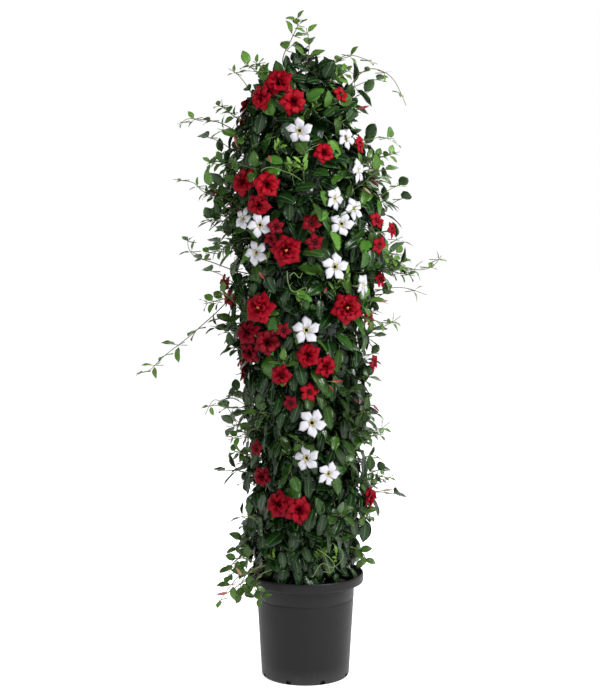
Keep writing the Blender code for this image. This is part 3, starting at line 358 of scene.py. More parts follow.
def leafCloud(heap, roots, alongs, ups, lengths, widths, tones, ages, rows, columns, start=0.13):
    # Pointed blades, all at once. For u along the leaf from 0 to 1 and v across from -1 to 1,
    # a point lies at u of the length, v times the half width w(u) to the side, and lifted by
    # an arch a(u), a fold up from the midrib and a slow wave along each edge. The upper and
    # the lower face are the same grid, a little apart inside and joined round the outline.
    roots, alongs, ups = (np.asarray(part, float) for part in (roots, alongs, ups))
    lengths, widths = np.asarray(lengths, float), np.asarray(widths, float)
    tones, ages = np.asarray(tones, float), np.asarray(ages, float)
    count = len(roots)
    acrosses = np.cross(alongs, ups)
    u = np.linspace(0, 1, rows + 1)[None, :, None]
    v = np.linspace(-1, 1, columns + 1)[None, None, :]
    outline = np.sin(math.pi * u**0.86) ** 0.70 * (1 - 0.24 * u**4)
    outline[:, 0], outline[:, -1] = 0.05, 0.0
    wave = 0.035 * np.sin(1.6 * math.tau * u + 9.0 * tones[:, None, None]) * v * np.abs(v)
    bend = 0.35 + 0.9 * ((7.31 * tones) % 1.0)[:, None, None]
    arch = (0.36 * (u - u * u) - 0.10 * u**3) * bend
    fold = 0.20 * np.abs(v) * outline * (1.25 - 0.5 * bend)
    inner = (1 - v * v) * np.sin(math.pi * u)
    share = start + (1 - start) * u
    out = 0.5 * v * outline
    size = lengths[:, None, None]
    wide = widths[:, None, None]
    lift = size * arch * 0.55 + wide * (fold * 0.55 + wave)
    faces = []
    for hand in (1.0, -1.0):
        rise = lift + hand * 0.00022 * inner
        grid = (
            roots[:, None, None] + (size * share)[..., None] * alongs[:, None, None]
            + (wide * out)[..., None] * acrosses[:, None, None]
            + np.broadcast_to(rise, (count, rows + 1, columns + 1))[..., None] * ups[:, None, None]
        )
        faces.append(grid)
    top, under = faces
    perGrid = (rows + 1) * (columns + 1)
    quads = gridFaces(rows + 1, columns + 1)
    index = np.arange(perGrid).reshape(rows + 1, columns + 1)
    border = np.concatenate([index[0], index[1:-1, 0], index[1:-1, -1], index[-1]])
    merged = np.arange(2 * perGrid)
    merged[border + perGrid] = border  # the lower face shares the upper face's outline
    merged[index[0]] = index[0, 0]
    merged[index[-1]] = index[-1, 0]
    merged = merged[merged]
    both = np.concatenate([quads, quads[:, ::-1] + perGrid])
    both = merged[both]
    thin = both[:, [0, 1, 2, 3]].copy()
    for shift in range(4):  # a quad that lost a corner becomes a triangle
        same = thin[:, 0] == thin[:, 3]
        thin[same] = np.roll(thin[same], -1, axis=1)
        same = thin[:, 0] == thin[:, 1]
        thin[same] = np.roll(thin[same], -1, axis=1)
        same = thin[:, 1] == thin[:, 2]
        thin[same] = np.roll(thin[same], -2, axis=1)
    used = np.unique(thin)
    lookup = np.zeros(2 * perGrid, int)
    lookup[used] = np.arange(len(used))
    thin = lookup[thin]
    alike = (thin[:, 0] == thin[:, 1]) | (thin[:, 0] == thin[:, 2]) | (thin[:, 1] == thin[:, 2])
    thin = thin[~alike]
    points = np.concatenate([top.reshape(count, perGrid, 3), under.reshape(count, perGrid, 3)], axis=1)
    points = points[:, used]
    shape = (1, rows + 1, columns + 1)
    acrossValue = np.broadcast_to(v, shape).reshape(perGrid)
    alongValue = np.broadcast_to(u, shape).reshape(perGrid)
    side = np.concatenate([np.zeros(perGrid), np.ones(perGrid)])[used]
    acrossValue = np.concatenate([acrossValue, acrossValue])[used]
    alongValue = np.concatenate([alongValue, alongValue])[used]
    quadsAll = thin[None] + (np.arange(count) * len(used))[:, None, None]
    heap.add(
        points.reshape(-1, 3), quadsAll.reshape(-1, 4),
        across=np.tile(acrossValue, count), along=np.tile(alongValue, count),
        under=np.tile(side, count), tone=np.repeat(tones, len(used)), age=np.repeat(ages, len(used)),
    )


class LeafList:
    # The leaves of one vine before they are made, so that new ones can keep clear of them.

    def __init__(self):
        self.rows, self.middles = [], []

    def add(self, root, along, up, length, width, tone, age):
        self.rows.append((root, along, up, length, width, tone, age))
        self.middles.append(root + 0.55 * length * along)

    def cloud(self, heap, rows, columns, start=0.13):
        parts = list(zip(*self.rows))
        leafCloud(heap, *parts, rows, columns, start)


def hidesFlower(points, flowers):
    points = np.asarray(points)
    for place, facing, width in flowers:
        offset = points - place
        ahead = offset @ facing
        beside = np.linalg.norm(offset - ahead[:, None] * facing, axis=1)
        if ((ahead > -0.004) & (ahead < 0.17) & (beside < 0.50 * width)).any():
            return True
    return False


# Flowers

def cadBloomTip(place, facing, radius, spin, small):
    # The tip of the first petal of the plain solid, by which its place is known.
    level, upright = frameAbout(facing)
    angle, out, ahead = (math.radians(4), 1.0, 0.0) if small else (math.radians(12), 1.0, -0.12)
    around = math.cos(spin + angle) * level + math.sin(spin + angle) * upright
    return place + radius * (out * around + ahead * facing)


flower = {
    "petals": 5, "tube": 0.58, "stalk": 0.0024, "gap": 0.0012, "branchBack": 0.008,
    "clearStep": 0.006, "plainBelow": 0.0675, "rows": 9, "columns": 11, "thickness": 0.00045,
    "backNodes": 9, "backLowest": 0.52, "backHighest": 1.74, "backWidth": 0.072,
    "backWhiteBunch": ((-0.13, 0.022), (0.15, -0.020)),
    "backRedBunch": ((-0.14, 0.028), (0.16, 0.010), (-0.01, -0.038)),
    "ruffledAbove": 0.057, "fullness": 1.22,
    # red flowers that sit in shade; their petals are painted dark, a painted shade
    "shaded": ("red_bunch_06", "red_bunch_07", "red_bunch_10", "red_bunch_15", "red_bloom_16",
               "red_bloom_21", "red_bloom_22", "red_bloom_23"),
}


def backFlowers():
    found = []
    rng = np.random.default_rng(leaf["seed"] + 1)
    for step in range(flower["backNodes"]):
        share = step / (flower["backNodes"] - 1)
        height = flower["backLowest"] + (flower["backHighest"] - flower["backLowest"]) * share
        bearing = math.radians(90 + 74 * math.sin(2.4 * step + 0.6))
        white = step % 3 == 1
        whites = (step + 1) // 3
        name = f"white_bunch_{14 + whites}" if white else f"red_bunch_{26 + step - whites}"
        for sideways, rise in flower["backWhiteBunch"] if white else flower["backRedBunch"]:
            turn = bearing + sideways
            away = np.array([math.cos(turn), math.sin(turn), 0.0])
            place = away * columnRadius(height + rise, away[0])
            place[2] = height + rise
            aim = unit(away + np.array([0.0, 0.0, 0.25 + 6 * rise]) + 0.15 * (rng.random(3) - 0.5))
            width = flower["backWidth"] * (0.85 + 0.2 * rng.random())
            found.append((name, place, aim, width, False))
    return found


# Flowers: node, column, row, width, then which way they face, how far in, and double or not
whiteFlowers = (
    ("white_bloom_01", 299, 130, 0.074, -0.1, -0.45, 0.0, False),
    ("white_bloom_02", 346, 137, 0.062, 0.5, 0.2, 0.0, False),
    ("white_bloom_03", 358, 169, 0.070, 1.6, 0.1, 0.0, False),
    ("white_bloom_04", 335, 196, 0.066, 0.9, 0.0, 0.0, False),
    ("white_bunch_05", 354, 206, 0.066, 0.7, 0.3, 0.0, False),
    ("white_bunch_05", 341, 221, 0.068, -0.1, -0.2, 0.0, False),
    ("white_bunch_06", 243, 215, 0.064, -0.7, 0.3, 0.0, False),
    ("white_bunch_06", 260, 222, 0.068, 0.2, -0.1, 0.0, False),
    ("white_bloom_07", 256, 249, 0.072, -0.3, 0.1, 0.0, False),
    ("white_bloom_08", 335, 263, 0.076, 0.2, 0.1, 0.0, False),
    ("white_bloom_09", 363, 282, 0.072, 1.8, 0.0, 0.0, False),
    ("white_bloom_10", 306, 326, 0.078, 0.0, 0.1, 0.0, False),
    ("white_bloom_11", 312, 419, 0.080, 0.1, 0.1, 0.0, False),
    ("white_bloom_12", 306, 455, 0.074, -0.2, -0.1, 0.0, False),
    ("white_bloom_13", 329, 471, 0.070, 0.4, -0.1, 0.0, False),
)


redFlowers = (
    ("red_bunch_01", 279, 82, 0.072, 0.0, 0.5, 0.0, False),
    ("red_bunch_01", 262, 97, 0.066, -0.8, 0.1, 0.0, False),
    ("red_bunch_01", 293, 101, 0.068, 0.5, -0.1, 0.0, False),
    ("red_bloom_02", 340, 94, 0.050, 0.5, 0.6, 0.0, False),
    ("red_bloom_03", 322, 151, 0.060, 0.2, 0.2, 0.0, False),
    ("red_bloom_04", 359, 143, 0.056, 1.6, 0.2, 0.0, False),
    ("red_bunch_05", 244, 179, 0.070, -0.6, 0.3, 0.0, False),
    ("red_bunch_05", 267, 182, 0.066, 0.3, 0.3, 0.0, False),
    ("red_bunch_05", 259, 202, 0.060, 0.0, -0.4, 0.010, False),
    ("red_bunch_06", 276, 223, 0.048, 0.3, 0.3, 0.010, False),
    ("red_bunch_06", 271, 236, 0.044, -0.1, -0.3, 0.010, False),
    ("red_bunch_07", 311, 220, 0.056, 0.0, 0.4, 0.012, False),
    ("red_bunch_07", 314, 239, 0.052, 0.1, -0.3, 0.012, False),
    ("red_bloom_08", 287, 247, 0.088, 0.0, 0.1, 0.0, True),
    ("red_bunch_09", 376, 217, 0.050, 0.4, 0.5, 0.0, False),
    ("red_bunch_09", 391, 227, 0.050, 1.2, 0.3, 0.0, False),
    ("red_bunch_09", 378, 242, 0.054, 0.4, -0.4, 0.0, False),
    ("red_bunch_10", 225, 279, 0.054, -0.9, 0.3, 0.0, False),
    ("red_bunch_10", 229, 294, 0.050, -0.5, -0.2, 0.0, False),
    ("red_bloom_11", 260, 304, 0.090, -0.2, 0.2, 0.0, True),
    ("red_bloom_12", 343, 304, 0.090, -0.1, 0.2, 0.0, True),
    ("red_bloom_13", 380, 276, 0.048, 0.8, 0.3, 0.0, False),
    ("red_bloom_14", 369, 314, 0.046, 0.6, 0.1, 0.0, False),
    ("red_bunch_15", 248, 328, 0.066, -0.4, 0.4, 0.0, False),
    ("red_bunch_15", 267, 338, 0.064, 0.4, 0.1, 0.0, False),
    ("red_bunch_15", 250, 348, 0.060, -0.4, -0.3, 0.0, False),
    ("red_bloom_16", 283, 326, 0.044, 0.0, 0.1, 0.010, False),
    ("red_bunch_17", 308, 351, 0.062, -0.3, 0.2, 0.0, False),
    ("red_bunch_17", 325, 362, 0.058, 0.4, -0.1, 0.0, False),
    ("red_bloom_18", 281, 371, 0.062, -0.1, 0.0, 0.0, False),
    ("red_bloom_19", 374, 359, 0.054, 1.6, 0.0, 0.0, False),
    ("red_bloom_20", 309, 388, 0.054, 0.2, 0.1, 0.0, False),
    ("red_bloom_21", 290, 399, 0.046, -0.3, -0.1, 0.0, False),
    ("red_bloom_22", 256, 444, 0.048, -0.5, 0.1, 0.008, False),
    ("red_bloom_23", 262, 473, 0.060, -0.3, 0.0, 0.008, False),
    ("red_bunch_24", 279, 501, 0.072, -0.5, 0.2, 0.0, False),
    ("red_bunch_24", 299, 507, 0.070, 0.4, 0.1, 0.0, False),
    ("red_bloom_25", 370, 495, 0.064, 1.7, 0.0, 0.0, False),
)


def frontFlowers():
    found = []
    for name, column, row, width, side, rise, inset, double in whiteFlowers + redFlowers:
        place = onColumn(column, row, inset)
        radial = unit(np.array([place[0], place[1], 0.0]))
        view = unit(np.array([0.45 * radial[0], -1.0, 0.0]))
        found.append((name, place, unit(view + np.array([side, 0.0, rise])), width, double))
    return found


def placedFlowers():
    # Each bunch at the step outwards at which its solid stands.
    bunches = {}
    for name, place, facing, width, double in frontFlowers() + backFlowers():
        bunches.setdefault(name, []).append([place, facing, width, double])
    for turn, (name, flowers) in enumerate(bunches.items()):
        tree = cornersOf(name)
        away = unit(np.mean([[f[0][0], f[0][1], 0.0] for f in flowers], axis=0))
        place, facing, width, _ = flowers[0]
        found = 0
        for step in range(18):
            moved = place + step * flower["clearStep"] * away
            small = width < flower["plainBelow"]
            if hasCorner(tree, cadBloomTip(moved, facing, width / 2, 0.7 * turn, small)):
                found = step
                break
        else:
            print("not found in the solids:", name)
        for one in flowers:
            one[0] = one[0] + found * flower["clearStep"] * away
        for order, one in enumerate(flowers):
            one.append(0.7 * turn + 1.9 * order)
    return bunches


def petalGrid(place, facing, radius, spin, rows, columns, shape, rng):
    # One petal as a pair of grids. For s across it from -1 to 1 its edge lies at
    # e(s) = 0.89 - 0.12 (s - 0.1)^2 - 1.7 max(|s| - 0.68, 0) + corner exp(-|s - 0.2| / 0.24).
    # For t from throat to edge the distance is r = inner + (outer e(s) - inner) t. The bearing is
    # s times the half angle plus a skew in t. The height is a flare that droops at the edge, a
    # twist s t that laps each petal over the next, a cup s s t and a ripple that grows with t.
    level, upright = frameAbout(facing)
    t = np.linspace(0, 1, rows)[:, None]
    s = np.linspace(-1, 1, columns)[None, :]
    edge = 0.89 - 0.12 * (s - 0.10) ** 2 - 1.7 * np.clip(np.abs(s) - 0.68, 0, 1)
    edge = edge + shape["corner"] * np.exp(-np.abs(s - 0.20) / 0.24)
    out = shape["inner"] + (shape["outer"] * edge - shape["inner"]) * t**0.92
    bearing = spin + s * math.radians(shape["half"]) + shape["skew"] * t**1.3
    phase = rng.random() * math.tau
    ripple = shape["ripple"] * t**2 * np.sin(4.6 * s + phase) * (0.4 + 0.6 * s * s)
    flare = shape["height"] * (1 - (1 - t) ** 2.2) - shape["drop"] * t**2.6
    height = flare + shape["twist"] * s * t**1.4 + shape["cup"] * (s * s) * t + ripple
    height = height - shape["sunk"] * (1 - t) ** 2
    around = np.cos(bearing)[..., None] * level + np.sin(bearing)[..., None] * upright
    middle = place + radius * (out[..., None] * around + height[..., None] * facing)
    inner = (1 - s * s) * np.sin(math.pi * np.clip(t, 0, 1)) ** 0.7
    offset = flower["thickness"] * inner[..., None] * facing
    return middle + offset, middle - offset, t, s


petalShape = {"inner": 0.15, "outer": 0.99, "corner": 0.23, "half": 43, "skew": 0.14, "ripple": 0.045,
              "height": 0.15, "drop": 0.24, "twist": -0.09, "cup": -0.05, "sunk": 0.15}
scarletShape = dict(petalShape, outer=0.99, corner=0.24, half=44, ripple=0.12, height=0.17, cup=0.06)
ruffleShape = {"inner": 0.10, "outer": 0.90, "corner": 0.12, "half": 43, "skew": 0.16, "ripple": 0.15,
               "height": 0.34, "drop": 0.16, "twist": -0.14, "cup": 0.14, "sunk": 0.10}
crownShape = {"inner": 0.07, "outer": 0.57, "corner": 0.10, "half": 44, "skew": 0.20, "ripple": 0.16,
              "height": 0.46, "drop": 0.08, "twist": -0.12, "cup": 0.18, "sunk": 0.08}


def addPetals(heap, slots, place, facing, radius, spin, shape, rng, tone, material, scale=1.0):
    rows, columns = flower["rows"], flower["columns"]
    for petal in range(flower["petals"]):
        turn = spin + math.tau * petal / flower["petals"]
        top, under, t, s = petalGrid(place, facing, radius * scale, turn, rows, columns, shape, rng)
        quads = gridFaces(rows, columns)
        t, s = np.broadcast_arrays(t, s)
        index = np.arange(rows * columns).reshape(rows, columns)
        border = np.concatenate([index[0], index[-1], index[1:-1, 0], index[1:-1, -1]])
        merged = np.arange(2 * rows * columns)
        merged[border + rows * columns] = border
        both = np.concatenate([quads[:, ::-1], quads + rows * columns])
        both = merged[both]
        used = np.unique(both)
        lookup = np.zeros(2 * rows * columns, int)
        lookup[used] = np.arange(len(used))
        points = np.concatenate([top.reshape(-1, 3), under.reshape(-1, 3)])[used]
        side = np.concatenate([np.zeros(rows * columns), np.ones(rows * columns)])[used]
        heap.add(
            points, lookup[both], along=np.tile(t.ravel(), 2)[used], across=np.tile(s.ravel(), 2)[used],
            under=side, tone=tone,
        )
        slots.append(np.full(len(both), material))


def trumpetTube(place, facing, radius, length):
    # The closed wall of the trumpet's tube: down its inner side from the throat to the pit
    # and back up its outer side, as a profile of (distance, height) about the way it faces.
    inner = [(0.0, -0.50), (0.045, -0.50), (0.075, -0.40), (0.115, -0.24), (0.155, -0.10), (0.175, -0.03)]
    outer = [(0.20, -0.06), (0.20, -0.16), (0.185, -0.30), (0.150, -0.46), (0.095, -0.62),
             (0.070, -0.80), (0.075, -length), (0.0, -length)]
    profile = np.array(inner + outer)
    points, quads = turnedSurface(profile * radius, 15)
    level, upright = frameAbout(facing)
    basis = np.stack([level, upright, facing])
    depth = np.concatenate([np.repeat(profile[1:-1, 1], 15), profile[[0, -1], 1]])
    ring = np.repeat(np.arange(len(profile) - 2), 15)
    inside = np.concatenate([ring < len(inner) - 1, [True, False]]).astype(float)
    return place + points @ basis, quads, depth, inside


def addCone(heap, slots, place, facing, radius, material):
    # The orange cone of anthers in the throat.
    level, upright = frameAbout(facing)
    path = np.array([place + radius * h * facing for h in (-0.30, -0.05, 0.10, 0.20)])
    points, quads = tubeAlong(path, radius * np.array([0.07, 0.085, 0.06, 0.012]), 8)
    heap.add(points, quads, along=1.0, across=0.0, under=0.0, tone=0.5)
    slots.append(np.full(len(quads), material))


def bunchFoot(flowers):
    feet = [place - facing * (flower["tube"] * width) for place, facing, width, *_ in flowers]
    facing = unit(np.mean([one[1] for one in flowers], axis=0))
    if len(flowers) == 1:
        return feet[0], facing
    return np.mean(feet, axis=0) - (flower["branchBack"] + flower["stalk"]) * facing, facing


def buildFlowers(bunches, materials):
    made = []
    for name, flowers in bunches.items():
        white = name.startswith("white")
        rng = np.random.default_rng(sum(map(ord, name)))
        heap, slots = Heap(), []
        for place, facing, width, double, spin in flowers:
            full = not white and width > flower["ruffledAbove"]
            radius = width / 2 * (flower["fullness"] if full and len(flowers) > 1 else 1.05)
            # The tone is a random share plus painted shade that grows lower down; the flowers listed as shaded
            # take painted shade in full.
            tone = 0.45 * rng.random() + 0.22 * max(0.0, 1.5 - place[2])
            tone = 0.90 if name in flower["shaded"] else tone
            first = petalShape if white else scarletShape
            addPetals(heap, slots, place, facing, radius, spin + 0.1, first, rng, tone, 0)
            if double or full:
                addPetals(heap, slots, place, facing, radius, spin + 0.7, ruffleShape, rng, tone, 0)
            if double:
                addPetals(heap, slots, place, facing, radius, spin + 1.2, crownShape, rng, tone, 0)
                addCone(heap, slots, place + 0.16 * radius * facing, facing, 1.5 * radius, 2)
            points, quads, depth, inside = trumpetTube(place, facing, radius, 2 * flower["tube"])
            heap.add(points, quads, along=depth, across=inside, under=0.0, tone=tone)
            slots.append(np.full(len(quads), 1))
        if len(flowers) > 1:
            foot, facing = bunchFoot(flowers)
            for place, aim, width, *_ in flowers:
                end = place - aim * (flower["tube"] * width)
                route = smoothRoute([foot, foot + 0.006 * facing, end - 0.003 * aim, end + 0.004 * aim], 8)
                points, quads = tubeAlong(route, 0.0017, 7)
                heap.add(points, quads, along=-1.2, across=0.0, under=0.0, tone=0.4)
                slots.append(np.full(len(quads), 1))
        kind = "white" if white else "red"
        piece = heap.build(
            f"{name}_fine", [materials[kind + "Petal"], materials[kind + "Tube"], materials["anther"]], slots
        )
        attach(piece, "root")
        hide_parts(name)
        made.append(piece)
    return made


# Shoots, stalks and buds

# Shoots: the columns and rows they run through, depth near and far, leaf pairs, leaf length
shoots = (
    (((292, 84), (283, 62), (292, 40), (298, 27), (296, 20)), 0.02, 0.0, 4, 0.052),
    (((306, 86), (307, 62), (309, 46), (306, 30)), 0.03, 0.03, 4, 0.058),
    (((318, 92), (326, 72), (341, 58), (354, 57), (376, 65)), 0.03, 0.02, 3, 0.042),
    (((344, 104), (352, 82), (366, 70), (381, 72), (393, 82), (404, 105)), 0.02, 0.04, 3, 0.030),
    (((262, 108), (250, 89), (240, 76), (230, 69)), 0.02, 0.02, 2, 0.034),
    (((246, 134), (222, 122), (206, 119), (190, 118), (181, 124)), 0.0, 0.0, 3, 0.034),
    (((232, 196), (207, 190), (194, 180), (175, 177)), 0.0, 0.02, 3, 0.032),
    (((240, 268), (214, 259), (197, 253), (190, 245), (189, 233)), 0.02, 0.0, 3, 0.042),
    (((244, 286), (213, 312), (189, 333), (172, 346), (162, 354), (150, 366), (138, 369)),
     0.04, 0.10, 5, 0.050),
    (((232, 232), (218, 224), (204, 212)), 0.06, 0.06, 2, 0.036),
    (((250, 424), (236, 416), (226, 402), (214, 396), (205, 411)), 0.05, 0.05, 2, 0.040),
    (((362, 270), (384, 267), (402, 265), (420, 266), (432, 262), (440, 252)), 0.02, 0.0, 4, 0.044),
    (((364, 292), (384, 285), (404, 284), (426, 291)), 0.05, 0.05, 2, 0.048),
    (((350, 334), (369, 327), (386, 321), (400, 312)), 0.04, 0.04, 2, 0.040),
    (((352, 168), (372, 158), (398, 150)), 0.02, 0.0, 3, 0.040),
    (((346, 442), (364, 437), (376, 429), (390, 418)), 0.04, 0.04, 2, 0.044),
    (((354, 490), (372, 482), (384, 478), (397, 469)), 0.04, 0.04, 2, 0.034),
    (((262, 566), (240, 574), (226, 590), (216, 606)), 0.10, 0.13, 3, 0.052),
    (((322, 562), (330, 572), (322, 548), (316, 543)), 0.14, 0.17, 1, 0.022),
)


shoot = {"radius": 0.0020, "tip": 0.0009, "back": 4, "sides": 6}


def frontShoots():
    found = []
    for route, near, far, pairs, length in shoots:
        depths = np.linspace(near, far, len(route))
        found.append(([atDepth(c, r, d) for (c, r), d in zip(route, depths)], pairs, length))
    return found


def backShoots():
    found = []
    for step in range(shoot["back"]):
        height = 0.62 + 0.27 * step
        bearing = math.radians(90 - 62 * math.sin(1.7 * step + 2.2))
        away = np.array([math.cos(bearing), math.sin(bearing), 0.0])
        near = columnRadius(height, away[0])
        steps = ((-0.05, 0.0), (0.03, 0.03), (0.08, 0.04), (0.12, 0.02))
        found.append((
            [away * (near + out) + np.array([0.0, 0.0, height + rise]) for out, rise in steps], 3, 0.042
        ))
    return found


def growShoots(stems, leaves, trees):
    # The shoots, and on them the leaves whose tips the solids have.
    for order, (places, pairs, leafLength) in enumerate(frontShoots() + backShoots()):
        height = min(max(places[0][2] - 0.02, vine["bottom"] + 0.03), vine["top"] - 0.06)
        index = nearestVine(np.array([places[0][0], places[0][1], height]))
        root, _, _ = strand(index, height)
        coarse = smoothRoute([root, *places], len(places) + 1)
        fine = smoothRoute([root, *places], 6 * (len(places) + 1))
        radii = np.linspace(shoot["radius"], shoot["tip"], len(fine))
        points, quads = tubeAlong(fine, radii, shoot["sides"])
        stems[index].add(points, quads, along=np.repeat(1.0, len(points)), tone=0.3 + 0.05 * (order % 5))
        first = len(coarse) // 3
        for pair in range(pairs):
            share = (pair + 0.6) / pairs
            at = first + share * (len(coarse) - 1.01 - first)
            i = int(at)
            node = coarse[i] + (coarse[i + 1] - coarse[i]) * (at - i)
            forward = unit(coarse[i + 1] - coarse[i])
            level, upright = frameAbout(forward)
            turn = math.pi / 2 * (pair % 2) + 0.3
            beside = math.cos(turn) * level + math.sin(turn) * upright
            size = leafLength * (1.1 - 0.55 * share)
            for hand in (1.0, -1.0):
                along = unit(hand * beside + 0.75 * forward + np.array([0.0, -0.1, -0.15]))
                radial = unit(np.array([node[0], node[1] - 0.15, 0.0]))
                up = leafFrame(radial, along, np.zeros(3))
                if not leafStands(trees[index], node, along, up, size, 0.50 * size):
                    continue
                tone = (0.37 * (order + 1) * (pair + 2) + 0.2 * hand) % 1.0
                leaves[index].add(node, along, up, 1.18 * size, 0.60 * size, tone, 0.30 + 0.45 * share)


def growStalks(stems, bunches):
    for flowers in bunches.values():
        foot, facing = bunchFoot(flowers)
        height = min(max(foot[2] - 0.012, vine["bottom"] + 0.03), vine["top"] - 0.10)
        index = nearestVine(np.array([foot[0], foot[1], height]))
        centre, _, _ = strand(index, height)
        end = foot - flower["gap"] * 0.2 * facing
        route = smoothRoute([centre, 0.4 * centre + 0.6 * end - 0.002 * facing, end - 0.006 * facing, end], 9)
        radii = np.array([1.25, 1.2, 1.15, 1.1, 1.05, 1.0, 1.05, 1.35, 1.1]) * 0.0019
        points, quads = tubeAlong(route, radii, 7)
        stems[index].add(points, quads, along=0.6, tone=0.75)


# Buds: column, row, length, and the way they point
buds = (
    (237, 140, 0.034, -0.4, 1.2),
    (362, 107, 0.036, 1.6, 0.4),
    (374, 180, 0.030, 0.9, -0.8),
    (217, 190, 0.034, -1.6, 0.2),
    (262, 272, 0.030, 0.6, -0.8),
    (382, 297, 0.032, 1.6, 0.1),
    (319, 385, 0.024, -0.3, -0.8),
    (331, 384, 0.024, 0.5, -0.6),
    (388, 487, 0.030, 1.4, 0.3),
    (240, 572, 0.032, -1.0, 0.8),
    (270, 157, 0.026, -0.2, 0.6),
    (325, 286, 0.026, 0.2, 0.5),
)


# More of them on the twigs: column, row, depth, length, sideways and up
tipBuds = (
    (221, 593, 0.150, 0.044, -1.0, 0.02), (238, 570, 0.185, 0.040, -0.55, 1.0),
    (337, 377, 0.215, 0.040, 1.5, 0.15), (376, 404, 0.090, 0.030, 0.9, -0.9),
    (366, 188, 0.150, 0.036, 0.9, -0.8),
)


budSlimness = 0.22


def budSurface(place, pointing, length):
    # For u from foot to tip the radius, as a share of the length, is
    # 0.5 slimness sin(pi u^0.85)^0.85 (1 - 0.25 u), times 1 + 0.1 cos(5 (turn + 2.6 u)),
    # which gives five low ribs that twist.
    level, upright = frameAbout(pointing)
    u = np.linspace(0.0, 1.0, 13)[1:-1][:, None]
    turn = np.linspace(0, math.tau, 15, endpoint=False)[None, :]
    radius = budSlimness * 0.5 * np.sin(math.pi * u**0.85) ** 0.85 * (1 - 0.25 * u)
    radius = radius * (1 + 0.10 * np.cos(5 * (turn + 2.6 * u)))
    rise = np.broadcast_to(u - 0.5, radius.shape)
    ring = (
        place + length * (
            (radius * np.cos(turn))[..., None] * level + (radius * np.sin(turn))[..., None] * upright
            + rise[..., None] * pointing
        )
    )
    rows = u.shape[0]
    ends = np.array([place - 0.5 * length * pointing, place + 0.5 * length * pointing])
    points = np.concatenate([ring.reshape(-1, 3), ends])
    quads = gridFaces(rows, 15, wrap=True)
    first = np.arange(15)
    last = first + (rows - 1) * 15
    caps = np.concatenate([
        triangles(np.full(15, rows * 15), np.roll(first, -1), first),
        triangles(np.full(15, rows * 15 + 1), last, np.roll(last, -1)),
    ])
    along = np.concatenate([np.repeat(u.ravel(), 15), [0.0, 1.0]])
    return points, np.concatenate([quads, caps]), along


def growBuds(stems):
    heap = Heap()
    spots = [
        (onColumn(column, row, 0.0), 1.25 * length, side, rise)
        for column, row, length, side, rise in buds
    ]
    spots += [
        (atDepth(column, row, depth), length, side, rise)
        for column, row, depth, length, side, rise in tipBuds
    ]
    for order, (place, length, side, rise) in enumerate(spots):
        pointing = unit(np.array([side, -0.6, rise]))
        points, quads, along = budSurface(place, pointing, length)
        heap.add(points, quads, along=along, across=0.0, under=0.0, tone=(order * 0.37) % 1.0)
        foot = place - 0.40 * length * pointing
        height = min(max(foot[2] - 0.012, vine["bottom"] + 0.03), vine["top"] - 0.10)
        index = nearestVine(np.array([foot[0], foot[1], height]))
        centre, _, _ = strand(index, height)
        route = smoothRoute([centre, 0.4 * centre + 0.6 * foot, foot, foot + 0.15 * length * pointing], 9)
        points, quads = tubeAlong(route, 0.0015, 7)
        stems[index].add(points, quads, along=0.6, tone=0.75)
    return heap


# Shader maths

class Wire:
    # A socket that takes part in sums: each operator adds its Math node.

    def __init__(self, board, socket):
        self.board, self.socket = board, socket

    def sum(self, kind, first, second=None, third=None):
        values = [value for value in (first, second, third) if value is not None]
        return self.board.node("ShaderNodeMath", {"operation": kind}, dict(enumerate(values)))

    def __add__(self, other): return self.sum("ADD", self, other)
    def __radd__(self, other): return self.sum("ADD", other, self)
    def __sub__(self, other): return self.sum("SUBTRACT", self, other)
    def __rsub__(self, other): return self.sum("SUBTRACT", other, self)
    def __mul__(self, other): return self.sum("MULTIPLY", self, other)
    def __rmul__(self, other): return self.sum("MULTIPLY", other, self)
    def __truediv__(self, other): return self.sum("DIVIDE", self, other)
    def __pow__(self, other): return self.sum("POWER", self, other)
    def size(self): return self.sum("ABSOLUTE", self)
    def clamped(self): return self.sum("MINIMUM", self.sum("MAXIMUM", self, 0.0), 1.0)
    def sine(self): return self.sum("SINE", self)
    def fraction(self): return self.sum("FRACT", self)


